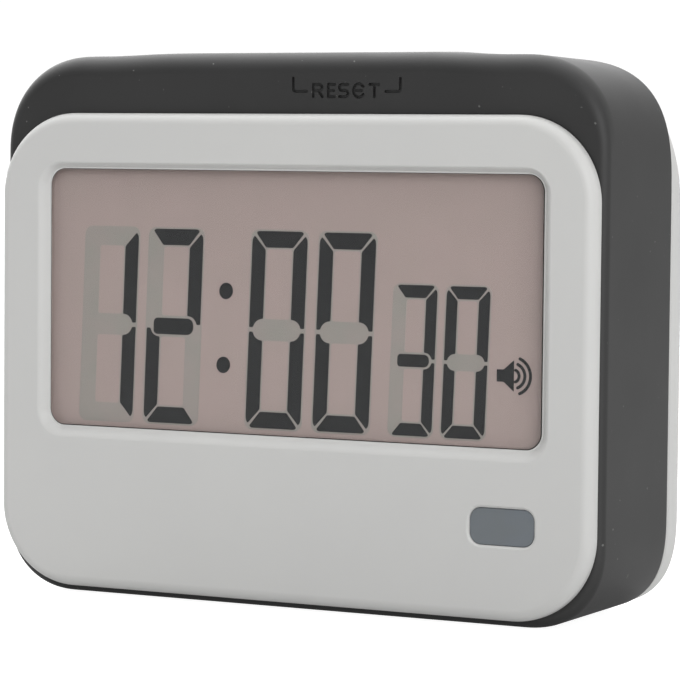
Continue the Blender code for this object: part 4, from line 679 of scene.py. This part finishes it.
# Key top = the band's top - drop at the rounded edge + crown * (1 - (1 - s)^2), with s from 0 at the edge
# to 1 at the middle
def resetPad():
    look = resetLook
    bottom, edge = look["flangeBottom"], look["edgeRound"]
    flange, side = resetRing(look["flange"]), resetRing(0.0)
    rings = [atHeight(flange, bottom), atHeight(flange, look["flangeTop"]), atHeight(side, look["flangeTop"])]
    for inward, drop in quarterRound(edge, look["roundSteps"]):
        ring = resetRing(-inward)
        rings.append(atHeight(ring, topHeight(ring) - drop))
    reach = (bandLook["resetBack"] - bandLook["resetFront"]) / 2 - edge - look["middleGap"]
    for share in np.linspace(0, 1, look["crownSteps"] + 1)[1:]:
        ring = resetRing(-edge - reach * share)
        rings.append(atHeight(ring, topHeight(ring) + look["crown"] * (1 - (1 - share) ** 2)))
    pad = skin("resetPad", rings)
    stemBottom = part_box("reset_key")[0][2] / mm
    profile = [(look["stemRadius"], 0), (look["stemRadius"], bottom + look["stemPast"] - stemBottom)]
    fuse(pad, turned("stem", profile, (0.0, look["stemY"], stemBottom), "Z"))
    finished(pad, "reset", "softBand", ["reset_key"])


resetPad()
print("stage: reset key ready")


indicatorLook = {"sunk": 0.30, "edgeRound": 0.14, "edgeSteps": 7, "flange": 0.7, "flangeThick": 0.8,
                 "inset": 0.04, "cornerSteps": 12}


def indicatorWindow():
    look = indicatorLook
    rect = grown(outlines["indicator"], -look["inset"])
    step = levels["faceBack"] + gap
    flange = grown(rect, look["flange"])
    stations = roundedRim(rect, levels["plateFront"] + look["sunk"], look["edgeRound"], 1, look["edgeSteps"])
    stations += [(rect, step), (flange, step), (flange, step + look["flangeThick"])]
    finished(loft("indicatorWindow", stations, look["cornerSteps"]), "case", "smokeLens",
             ["indicator_lens"])


indicatorWindow()


# Digit sizes in millimetres, upright; the slant then shifts x by slant * height above the digit's middle
digitLooks = {
    "large": {"width": 8.43, "height": 26.62, "stroke": 2.08, "bar": 2.21, "pillHalf": 1.12, "cutHalf": 1.46,
              "middle": 37.56},
    "small": {"width": 6.29, "height": 19.93, "stroke": 1.60, "bar": 1.67, "pillHalf": 0.84, "cutHalf": 1.10,
              "middle": 34.26},
}
displayLook = {"slant": 0.0365, "halo": 0.22, "litFront": -12.16, "litBack": -12.11, "unlitFront": -12.13,
               "unlitBack": -12.08, "shiftX": 0.26, "soften": 0.16, "eightCorner": 1.2, "holeCorner": 0.35,
               "colonX": -10.51, "colonZs": (5.08, -4.98), "colonDot": (1.06, 1.12)}
shownDigits = [("large", -28.80, "1"), ("large", -18.57, "2"), ("large", -2.50, "0"), ("large", 7.77, "0"),
               ("small", 18.03, "3"), ("small", 25.68, "0")]
litSegments = {"0": "abcdef", "1": "bc", "2": "abged", "3": "abgcd"}

# Cuts at the segments' ends for a stroke of 2.08, in from the digit's side and down from its top. The small
# digits' cuts are smaller as their stroke is
segmentLook = {"stroke": 2.08, "flat": 0.55, "midGap": 0.30, "mitre": 0.30,
               "uprightTip": ((0.34, 0.62), (0.08, 1.00), (0.0, 1.45)),
               "levelTip": ((0.62, 0.30), (0.75, 0.10), (1.02, 0.0)), "levelInner": 2.15,
               "pillEnd": 1.08, "pillRight": 0.95, "pillLeft": 0.62}


# Upper right bar: up its inner side to the mitre, over the tip, down the outer side, and round the middle
# bar's cut. The other bars are the level one, the middle pill, and these mirrored
def segmentShapes(look):
    cuts = segmentLook
    half, top, stroke, bar = look["width"] / 2, look["height"] / 2, look["stroke"], look["bar"]
    unit = stroke / cuts["stroke"]
    radius, flat, midGap = look["cutHalf"], cuts["flat"] * unit, cuts["midGap"] * unit
    tip = lambda name: [(half - x * unit, top - z * unit) for x, z in cuts[name]]
    centre = half - flat - radius
    start = math.degrees(math.asin(midGap / radius))
    end = math.degrees(math.acos(min((half - stroke - centre) / radius, 1.0)))
    bowl = arcLine(centre, 0.0, radius, radius, start, end, 9)
    upright = np.concatenate([bowl, [(half - stroke, top - bar - cuts["mitre"] * unit), *tip("uprightTip"),
                                     (half, midGap)]])
    right = np.array([(half - cuts["levelInner"] * unit, top - bar), *tip("levelTip")])
    level = np.concatenate([right, (right * (-1, 1))[::-1]])
    pillEnd, pillHalf = half - cuts["pillEnd"] * unit, look["pillHalf"]
    corners = ((1, -1, "pillRight"), (1, 1, "pillRight"), (-1, 1, "pillLeft"), (-1, -1, "pillLeft"))
    pill = []
    for (wayX, wayZ, name), angle in zip(corners, (-90, 0, 90, 180)):
        r = cuts[name] * unit
        pill.append(arcLine(wayX * (pillEnd - r), wayZ * (pillHalf - r), r, r, angle, angle + 90, 6))
    flip, drop = np.array([-1, 1]), np.array([1, -1])
    return {"a": level, "b": upright, "c": upright * drop, "d": level * drop, "e": upright * flip * drop,
            "f": upright * flip, "g": np.concatenate(pill)}


# Upright shape to its place on the display: x = centre + x + slant * z, z = middle + z
def onDisplay(points, centre, middle):
    x, z = points[:, 0], points[:, 1]
    return np.column_stack([centre + displayLook["shiftX"] + x + displayLook["slant"] * z, middle + z])


# Several flat shapes with thickness, as one mesh
def flatShapes(name, shapes, front, back):
    vertices, faces, first = [], [], 0
    for points in shapes:
        count = len(points)
        j = np.arange(count)
        beside = (j + 1) % count
        vertices.append(np.concatenate([atLevel(points, front), atLevel(points, back)]) * mm)
        faces += (np.stack([j, beside, beside + count, j + count], -1) + first).tolist()
        faces += [(j + first)[::-1].tolist(), (j + count + first).tolist()]
        first += 2 * count
    return placed(name, np.concatenate(vertices), faces)


# Unlit figure of eight: a rounded rectangle less its two windows, each side a halo's width beyond the bars
def unlitEight(look, centre):
    halo, front, back = displayLook["halo"], displayLook["unlitFront"], displayLook["unlitBack"]
    half, top = look["width"] / 2 + halo, look["height"] / 2 + halo
    inner = look["width"] / 2 - look["stroke"] - halo
    low, high = look["cutHalf"], look["height"] / 2 - look["bar"] - halo
    shape = lambda rect, steps: onDisplay(roundedOutline(rect, steps), centre, look["middle"])
    eight = flatShapes("eight", [shape((-half, half, -top, top, displayLook["eightCorner"]), 8)], front, back)
    holes = [prism("hole", shape((-inner, inner, z0, z1, displayLook["holeCorner"]), 4), front - 1, back + 1)
             for z0, z1 in ((low, high), (-high, -low))]
    return cut(eight, *holes)


# Speaker with three sound arcs
speakerLook = {"middle": 32.82, "boxLeft": 30.18, "boxRight": 31.16, "boxHalf": 0.80, "coneRight": 32.62,
               "coneHalf": 2.05, "soften": 0.1, "arcX": 32.54, "radii": (0.82, 1.64, 2.44), "spread": 68,
               "stroke": 0.40}


def speakerShapes():
    look = speakerLook
    z, spread = look["middle"], look["spread"]
    sides = [(look["boxLeft"], look["boxHalf"]), (look["boxRight"], look["boxHalf"]),
             (look["coneRight"], look["coneHalf"])]
    body = np.array([(x, z - half) for x, half in sides] + [(x, z + half) for x, half in sides[::-1]])
    arcs = [strokeOutline(arcLine(look["arcX"], z, r, r, -spread, spread, 16), look["stroke"])
            for r in look["radii"]]
    return [points + (displayLook["shiftX"], 0) for points in [softened(body, look["soften"])] + arcs]


def displayContents():
    lit, eights = [], []
    for kind, centre, digit in shownDigits:
        look = digitLooks[kind]
        shapes = segmentShapes(look)
        lit += [onDisplay(softened(shapes[key], displayLook["soften"]), centre, look["middle"])
                for key in litSegments[digit]]
        eights.append(unlitEight(look, centre))
    dots = [onDisplay(arcLine(0.0, z, *displayLook["colonDot"], 0, 345, 24), displayLook["colonX"],
                      digitLooks["large"]["middle"]) for z in displayLook["colonZs"]]
    for name, shapes in (("litDigits", lit), ("litColon", dots), ("litSpeaker", speakerShapes())):
        piece = flatShapes(name, shapes, displayLook["litFront"], displayLook["litBack"])
        finished(piece, "case", "darkSegments")
    for number, eight in enumerate(eights, 1):
        eight.name = f"unlitEight{number}"
        finished(eight, "case", "unlitSegments")


displayContents()
print("stage: display ready")


# Posts and key-board bosses as x, z; a post stands at both sides
rearLook = {"inset": 0.15, "edgeRound": 1.6, "edgeSteps": 12, "spigotWall": 1.5, "bayWall": 1.4, "cell": 10.5,
            "topCorner": (25.3, 3.0), "lead": 0.3, "lowerPosts": (31.5, 6.4), "upperPosts": (32.5, 68.3),
            "postRadius": 3.5, "postWeb": 1.6, "headBore": 2.6, "shankBore": 1.35, "panelDepth": 0.8,
            "panelMouth": 0.3, "openingMouth": 0.15, "seatWall": 1.0, "seatRim": 1.3, "seatMouth": 0.2,
            "holeRadius": 0.75, "holeRing": 3.3, "holeMouth": 0.18, "keyBoardBack": 6.7, "bossRadius": 2.1,
            "keyBoardBosses": ((-24.8, 49.0), (24.8, 49.0), (-0.5, 41.0)), "tabSwing": 0.7, "tabShort": 0.4,
            "tabSlotReach": 2.0}
keyLook = {"names": ("hour", "minute", "second", "start_stop"), "pitch": 15.0, "z": 57.0, "length": 11.0,
           "width": 7.0, "flange": 0.8, "edgeRound": 0.6, "edgeSteps": 8, "sunk": 0.1, "dish": 0.28,
           "dishSteps": 7, "middleGap": 0.05, "cornerSteps": 14, "panelMargin": 3.2}
sliderLook = {"x": 18.0, "z": 43.0, "halfSlot": 3.5, "halfHigh": 1.6, "slotCorner": 0.4, "widerMost": 0.8,
              "panelMargin": (2.0, 1.8), "rest": -1.5, "halfKnob": 2.0, "knobCorner": 0.5, "knobRound": 0.35,
              "sunk": 0.1, "shield": (2.6, 1.0, 0.4), "shieldThick": 0.9, "pinHalf": 0.8, "pinIn": 1.1,
              "pinPast": 0.5, "grooveRadius": 0.34, "grooveHalf": 2.5, "groovePitch": 1.2, "grooveLift": 0.02}
magnetLook = {"x": 35.0, "z": 43.0, "radius": 5.0, "thick": 2.1, "rim": 0.2, "dishFrom": 0.6, "dish": 0.02,
              "middleDish": 0.03, "middle": 0.02}
buzzerLook = {"x": -14.0, "z": 43.5, "radius": 7.4, "wall": 2.4}
doorLook = {"lap": 1.0, "corner": 1.5, "edge": 0.35, "mouth": 0.2, "join": 0.4, "ribs": 4, "ribPitch": 1.6,
            "ribWidth": 0.6, "ribCorner": 0.29, "ribDepth": 0.35, "ribMouth": 0.12, "ribLength": 12.0,
            "ribFrom": 2.4, "scoopRadius": 6.0, "scoopDepth": 1.0, "scoopHalf": 5.0, "scoopChamfer": 0.5,
            "tabX": 15.0, "tabHalf": 3.0, "tabThick": 1.0, "tabReach": 1.6, "tabRoot": 1.6, "tabLap": 0.8,
            "tabInset": 0.05, "tabSoften": 0.3, "latchHalf": 4.0, "latchLength": 2.6, "latchThick": 1.0,
            "latchGap": 0.5}
keyXs = [(i - 1.5) * keyLook["pitch"] for i in range(4)]


def keyRect(x, by=0.0):
    half, tall, z = keyLook["length"] / 2, keyLook["width"] / 2, keyLook["z"]
    return grown((x - half, x + half, z - tall, z + tall, tall), by)


def sliderRect(byX, byZ):
    look = sliderLook
    x, z, wide, high = look["x"], look["z"], look["halfSlot"], look["halfHigh"]
    corner = look["slotCorner"] + min(byX, look["widerMost"])
    return (x - wide - byX, x + wide + byX, z - high - byZ, z + high + byZ, corner)


def doorRect():
    return grown(outlines["bay"], doorLook["lap"])[:4] + (doorLook["corner"],)


# A bore with a soft mouth: its radius opens by a quarter round where it meets the face
def softBore(name, radius, start, face, x, z, mouth=0.25, sides=32):
    depth = face - start
    profile = [(radius, 0.0)] + [(radius + wider, depth - drop) for wider, drop in quarterRound(mouth, 4)]
    return turned(name, profile + [(radius + mouth, depth + past)], (x, start, z), "Y", sides)


# An opening with a soft mouth, for a rounded rectangle
def softOpening(name, rect, start, face, mouth, cornerSteps):
    stations = [(rect, start)] + [(grown(rect, wider), face - drop) for wider, drop in quarterRound(mouth, 4)]
    return loft(name, stations + [(grown(rect, mouth), face + past)], cornerSteps)


# Outline of the rear cover at a level of y, moved in by an inset. It follows the band's back edge, but its
# upper corners are longer
def rearRing(y, inset):
    band = outlines["band"]
    (topRadius, topPower), (bottomRadius, bottomPower) = rearLook["topCorner"], bandLook["backBottom"]
    radii = np.array([bottomRadius, topRadius, topRadius, bottomRadius]) - inset
    edges = (band[0] + inset, band[1] - inset, band[2] + inset, band[3] - inset)
    return atLevel(corneredOutline(edges, radii, [bottomPower, topPower, topPower, bottomPower],
                                   bandLook["cornerSteps"], 2), y)


# Slots for the door's hook tabs, with room in front of each tab for its swing
def tabSlots():
    door, bayTop = doorLook, outlines["bay"][3]
    low = levels["rearInner"] - gap - door["tabThick"] - rearLook["tabSwing"] - gap
    slots = []
    for x in (-door["tabX"], door["tabX"]):
        shape = square(x - door["tabHalf"] - gap, x + door["tabHalf"] + gap, bayTop - past,
                       bayTop + rearLook["tabSlotReach"])
        slots.append(prism("tabSlot", shape, low, levels["doorFront"] - rearLook["tabShort"]))
    return slots


# Finger scoop below the door: a round bar with chamfered ends, which cuts scoopDepth deep into the face
def fingerScoop():
    half, radius, chamfer = doorLook["scoopHalf"], doorLook["scoopRadius"], doorLook["scoopChamfer"]
    ends = [(radius - chamfer, -half), (radius, -half + chamfer), (radius, half - chamfer),
            (radius - chamfer, half)]
    place = (0.0, levels["rear"] + radius - doorLook["scoopDepth"], doorRect()[2])
    return turned("scoop", ends, place, "X", 64)


# Tub with a rounded rear edge. Walls, posts and rings are joined to it, and then the bay, bores and openings
# are cut from it
def rearCoverShell():
    look, magnet, buzzer, bay = rearLook, magnetLook, buzzerLook, outlines["bay"]
    rear, inner, shoulder, front = (levels[k] for k in ("rear", "rearInner", "shoulder", "spigotFront"))
    spigot = bandLook["wall"] + gap
    hollow = spigot + look["spigotWall"]
    edge = [(rear - depth, look["inset"] + inset)
            for depth, inset in quarterRound(look["edgeRound"], look["edgeSteps"])]
    edge += [(shoulder + look["lead"], look["inset"]), (shoulder, look["inset"] + look["lead"]),
             (shoulder, spigot), (front, spigot), (front, hollow), (inner, hollow)]
    shell = skin("rearCoverShell", [rearRing(y, inset) for y, inset in edge])
    inside = inner + past
    posts = [(side * x, z) for x, z in (look["lowerPosts"], look["upperPosts"]) for side in (-1, 1)]
    magnets = [(side * magnet["x"], magnet["z"]) for side in (-1, 1)]
    bayFloor = levels["doorFront"] - gap - look["cell"] - gap
    seatFront = rear - magnet["thick"] - gap - look["seatWall"]
    ringFront = inner - buzzer["wall"]
    bayWalls, seatRim = grown(bay, look["bayWall"]), look["seatRim"]
    fuse(shell, loft("bayWalls", [(bayWalls, bayFloor - look["bayWall"]), (bayWalls, inside)], 6),
         *[cylinder("post", look["postRadius"], levels["postFront"], inside, x, z) for x, z in posts],
         *[cylinder("seat", magnet["radius"] + seatRim, seatFront, inside, x, z, 40) for x, z in magnets],
         cylinder("ring", buzzer["radius"] + seatRim, ringFront, inside, buzzer["x"], buzzer["z"], 48),
         *[cylinder("boss", look["bossRadius"], look["keyBoardBack"] + gap, inside, x, z, 24)
           for x, z in look["keyBoardBosses"]])
    holes = [(0.0, 0.0)] + [(look["holeRing"] * math.cos(a), look["holeRing"] * math.sin(a))
                            for a in np.linspace(0, 2 * math.pi, 6, endpoint=False)]
    cut(shell, loft("bay", [(bay, bayFloor), (bay, rear + past)], 4),
        softOpening("rebate", grown(doorRect(), gap), levels["doorFront"] - gap, rear, doorLook["mouth"], 8),
        *tabSlots(), fingerScoop(),
        *[softBore("headBore", look["headBore"], levels["postFront"] + look["postWeb"], rear, x, z)
          for x, z in posts],
        *[cylinder("shankBore", look["shankBore"], levels["postFront"] - past, 0.0, x, z, 24)
          for x, z in posts],
        *[softBore("magnetSeat", magnet["radius"] + gap, rear - magnet["thick"] - gap, rear, x, z,
                   look["seatMouth"], 48) for x, z in magnets],
        cylinder("buzzerSeat", buzzer["radius"] + gap, ringFront - past, inner, buzzer["x"], buzzer["z"], 48),
        *[softBore("soundHole", look["holeRadius"], inner - past, rear, buzzer["x"] + x, buzzer["z"] + z,
                   look["holeMouth"], 20) for x, z in holes])
    floor, start = rear - look["panelDepth"], inner - past
    mouth, smallMouth = look["panelMouth"], look["openingMouth"]
    first, last = keyRect(keyXs[0], keyLook["panelMargin"]), keyRect(keyXs[-1], keyLook["panelMargin"])
    cut(shell, softOpening("keyPanel", (first[0], last[1]) + first[2:], floor, rear, mouth, 20),
        softOpening("sliderPanel", sliderRect(*sliderLook["panelMargin"]), floor, rear, mouth, 10))
    cut(shell, *[softOpening("keyOpening", keyRect(x, gap), start, floor, smallMouth, 14) for x in keyXs],
        softOpening("sliderSlot", sliderRect(gap, gap), start, floor, smallMouth, 6))
    finished(shell, "case", "whiteShell", ["rear_cover"])


rearCoverShell()
print("stage: rear cover ready")


# Key cap: oval rings that shrink towards the middle, each sunk by dish * (1 - (1 - s)^2), with s from 0 at
# the edge to 1 at the middle
def keyCap(name, x):
    look = keyLook
    inner, top = levels["rearInner"] - gap, levels["rear"] - look["sunk"]
    flange = keyRect(x, look["flange"])
    stations = [(flange, levels["keyBottom"]), (flange, inner), (keyRect(x), inner)]
    stations += roundedRim(keyRect(x), top, look["edgeRound"], -1, look["edgeSteps"])[::-1]
    for share in np.linspace(0, 1, look["dishSteps"] + 1)[1:]:
        reach = (look["width"] / 2 - look["edgeRound"] - look["middleGap"]) * share
        sunk = look["dish"] * (1 - (1 - share) ** 2)
        stations.append((grown(keyRect(x), -look["edgeRound"] - reach), top - sunk))
    finished(loft(name + "KeyCap", stations, look["cornerSteps"]), name, "greyKeys",
             [name + "_key"])


for keyName, keyX in zip(keyLook["names"], keyXs):
    keyCap(keyName, keyX)


# Slider knob with a rounded top and three grooves, on a shield inside the cover with a pin to its switch
def sliderKnob():
    look = sliderLook
    x, z = look["x"] + look["rest"], look["z"]
    x0, x1, z0, z1 = x - look["halfKnob"], x + look["halfKnob"], z - look["halfHigh"], z + look["halfHigh"]
    top, shieldBack = levels["rear"] - look["sunk"], levels["rearInner"] - gap
    wide, high, corner = look["shield"]
    shield = (x0 - wide, x1 + wide, z0 - high, z1 + high, corner)
    knob = (x0, x1, z0, z1, look["knobCorner"])
    stations = [(shield, shieldBack - look["shieldThick"]), (shield, shieldBack), (knob, shieldBack)]
    stations += roundedRim(knob, top, look["knobRound"], -1, 5)[::-1]
    body = loft("sliderKnob", stations, 6)
    pin = square(x - look["pinHalf"], x + look["pinHalf"], z0 + look["pinIn"], z1 - look["pinIn"])
    fuse(body, prism("pin", pin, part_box("sound_slider")[0][1] / mm, shieldBack - look["pinPast"]))
    groove = [(look["grooveRadius"], -look["grooveHalf"]), (look["grooveRadius"], look["grooveHalf"])]
    grooveY = top + look["grooveLift"]
    grooveXs = [x + k * look["groovePitch"] for k in (-1, 0, 1)]
    cut(body, *[turned("groove", groove, (grooveX, grooveY, z), "Z", 16) for grooveX in grooveXs])
    finished(body, "sound", "blackPlastic", ["sound_slider"])


sliderKnob()


# Door panel with soft edges, hook tabs, latch tongue and grip ribs
def doorPanel():
    look, bay, door = doorLook, outlines["bay"], doorRect()
    front, rear = levels["doorFront"], levels["rear"]
    panel = loft("doorPanel", [(door, front)] + roundedRim(door, rear, look["edge"], -1, 5)[::-1], 8)
    tabBack = levels["rearInner"] - gap
    tabFront, rootZ, inset = tabBack - look["tabThick"], bay[3] - gap, look["tabInset"]
    added = []
    for x in (-look["tabX"], look["tabX"]):
        x0, x1 = x - look["tabHalf"], x + look["tabHalf"]
        root = square(x0, x1, rootZ - look["tabRoot"], rootZ)
        added.append(prism("tabRoot", root, tabFront, front + look["join"]))
        hook = square(x0 + inset, x1 - inset, rootZ - look["tabLap"], door[3] + look["tabReach"])
        added.append(prism("tab", softened(hook, look["tabSoften"]), tabFront + inset, tabBack))
    latchZ = bay[2] + look["latchGap"]
    latch = square(-look["latchHalf"], look["latchHalf"], latchZ, latchZ + look["latchThick"])
    fuse(panel, *added, prism("latch", latch, front - look["latchLength"], front + look["join"]))
    half, ribs = look["ribLength"] / 2, []
    for k in range(look["ribs"]):
        z = door[2] + look["ribFrom"] + look["ribPitch"] * k
        ribs.append(softOpening("rib", (-half, half, z, z + look["ribWidth"], look["ribCorner"]),
                                rear - look["ribDepth"], rear, look["ribMouth"], 6))
    cut(panel, *ribs)
    finished(panel, "door", "whiteShell", ["battery_door"])


doorPanel()
print("stage: rear controls and door ready")


# Magnets: turned discs with a soft rim and a faintly dished face
def magnetDisc(name, side, node):
    look = magnetLook
    radius, thick = look["radius"], look["thick"]
    rim = [(radius - inset, depth) for depth, inset in quarterRound(look["rim"], 4)]
    back = [(r, thick - h) for r, h in rim[::-1]]
    profile = [(look["middle"], 0.0)] + rim + back + [(radius * look["dishFrom"], thick - look["dish"]),
                                                      (look["middle"], thick - look["middleDish"])]
    disc = turned(name, profile, (side * look["x"], levels["rear"] - thick, look["z"]), "Y", 64)
    finished(disc, "case", "nickel", [node])


magnetDisc("magnetDiscLeft", -1, "magnet_left")
magnetDisc("magnetDiscRight", 1, "magnet_right")


# Finishes of the carried-over nodes, by words in a node's name. The first that fits holds, and any name
# fits the last
nodeFinishes = {
    "steel": ["screw", "contact", "clock_crystal"],
    "clearPane": ["display_lens"],
    "displayFace": ["lcd_cell"],
    "foil": ["lcd_reflector"],
    "zebra": ["zebra_strip"],
    "lampEpoxy": ["indicator_led"],
    "board": ["circuit_board", "key_board"],
    "brass": ["piezo_buzzer"],
    "ribbon": ["ribbon_cable"],
    "wrapRight": ["battery_lower"],
    "wrapLeft": ["battery_upper"],
    "blackPlastic": ["lcd_frame", "controller_chip", "switch"],
    "greyKeys": ["plunger"],
    "whiteShell": [""],
}
for nodeName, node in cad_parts.items():
    fitting = [finish for finish, words in nodeFinishes.items() if any(word in nodeName for word in words)]
    node.data.materials.clear()
    node.data.materials.append(finishes[fitting[0]])
print("stage: carried-over nodes finished")


cameraLook = {"place": (206.7352, -393.9009, 61.8878), "yaw": 0.4815, "pitch": 0.0587, "roll": -0.0094,
              "focal": 3238.2433, "picture": 680.0, "sensor": 36.0}


# View direction from yaw and pitch; the picture's right and up directions are then turned by the roll
def makeCamera():
    look = cameraLook
    yaw, pitch, roll = look["yaw"], look["pitch"], look["roll"]
    forward = np.array([-math.sin(yaw) * math.cos(pitch), math.cos(yaw) * math.cos(pitch), -math.sin(pitch)])
    right = np.array([math.cos(yaw), math.sin(yaw), 0.0])
    up = np.cross(right, forward)
    turnedRight = math.cos(roll) * right - math.sin(roll) * up
    turnedUp = math.sin(roll) * right + math.cos(roll) * up
    data = bpy.data.cameras.new("photoCamera")
    data.sensor_fit, data.sensor_width = "HORIZONTAL", look["sensor"]
    data.lens = look["focal"] / look["picture"] * look["sensor"]
    data.clip_start, data.clip_end = 0.01, 50.0
    camera = bpy.data.objects.new("photoCamera", data)
    scene.collection.objects.link(camera)
    matrix = Matrix(np.column_stack([turnedRight, turnedUp, -forward]).tolist()).to_4x4()
    matrix.translation = Vector(look["place"]) * mm
    camera.matrix_world = matrix
    scene.camera = camera


# World brightness by direction = base + the sum over the lobes of gain * (direction . lobe) ^ power, where
# that is above 0. One lobe stands above the part's left rear, one behind it, and a wide one to its right,
# each as its direction, gain and power. The lamps are name, place, aim, width and power
lightLook = {"base": 0.13, "lobes": (((-0.52, 0.33, 0.79), 2.9, 3.5), ((-0.46, 0.88, 0.10), 1.2, 6.0),
                                     ((0.95, 0.0, 0.30), 0.51, 1.0)),
             "backdrop": 1.05, "floorHalf": 6.0, "floorDrop": 0.0002, "floorColour": (0.40, 0.40, 0.40),
             "floorGlow": 0.95, "floorBounce": 0.17, "floorNoise": (3.0, 2.0), "floorRoughness": (0.80, 0.86),
             "lamps": (("topSoft", (0.10, 0.05, 0.95), (0.0, 0.0, 0.04), 1.1, 0.9),
                       ("frontSoft", (0.68, -0.69, 0.31), (0.0, 0.0, 0.04), 0.8, 3.95))}
white = (1.0, 1.0, 1.0)


def makeFloor():
    look = lightLook
    half, z = look["floorHalf"], -look["floorDrop"]
    mesh = bpy.data.meshes.new("paleFloor")
    corners = [(-half, -half, z), (half, -half, z), (half, half, z), (-half, half, z)]
    mesh.from_pydata(corners, [], [(0, 1, 2, 3)])
    floor = bpy.data.objects.new("paleFloor", mesh)
    scene.collection.objects.link(floor)
    material, tree, shader, place = startMaterial("paleFloorPaint")
    slow = noise(tree, place, *look["floorNoise"])
    seen = addNode(tree, "LightPath", {}, "Is Camera Ray")
    glow = ranged(tree, seen, (0.0, 1.0), (look["floorBounce"], look["floorGlow"]))
    feed(tree, shader, {"Base Color": look["floorColour"], "Emission Color": white, "Emission Strength": glow,
                        "Roughness": drifting(tree, slow, look["floorRoughness"])})
    mesh.materials.append(material)


def makeLight():
    look = lightLook
    for name, start, aim, width, power in look["lamps"]:
        data = bpy.data.lights.new(name, "AREA")
        data.shape, data.size, data.energy = "SQUARE", width, power
        lamp = bpy.data.objects.new(name, data)
        scene.collection.objects.link(lamp)
        lamp.location = start
        lamp.rotation_euler = (Vector(aim) - Vector(start)).to_track_quat("-Z", "Y").to_euler()
    world = bpy.data.worlds.new("whiteRoom")
    world.use_nodes = True
    tree = world.node_tree
    direction = addNode(tree, "TexCoord", {}, "Generated")
    bright = look["base"]
    for towards, gain, power in look["lobes"]:
        node = tree.nodes.new("ShaderNodeVectorMath")
        node.operation = "DOT_PRODUCT"
        feed(tree, node, {0: direction, 1: towards})
        value = node.outputs["Value"]
        for operation, amount in (("MAXIMUM", 0.0), ("POWER", power), ("MULTIPLY", gain), ("ADD", bright)):
            value = mathNode(tree, operation, value, amount)
        bright = value
    seen = addNode(tree, "LightPath", {}, "Is Camera Ray")
    strength = addNode(tree, "Mix", {0: seen, 2: bright, 3: look["backdrop"]})
    feed(tree, tree.nodes["Background"], {"Color": white, "Strength": strength})
    scene.world = world
    scene.view_settings.view_transform = "Standard"


makeCamera()
makeFloor()
makeLight()
print("stage: camera and light ready")
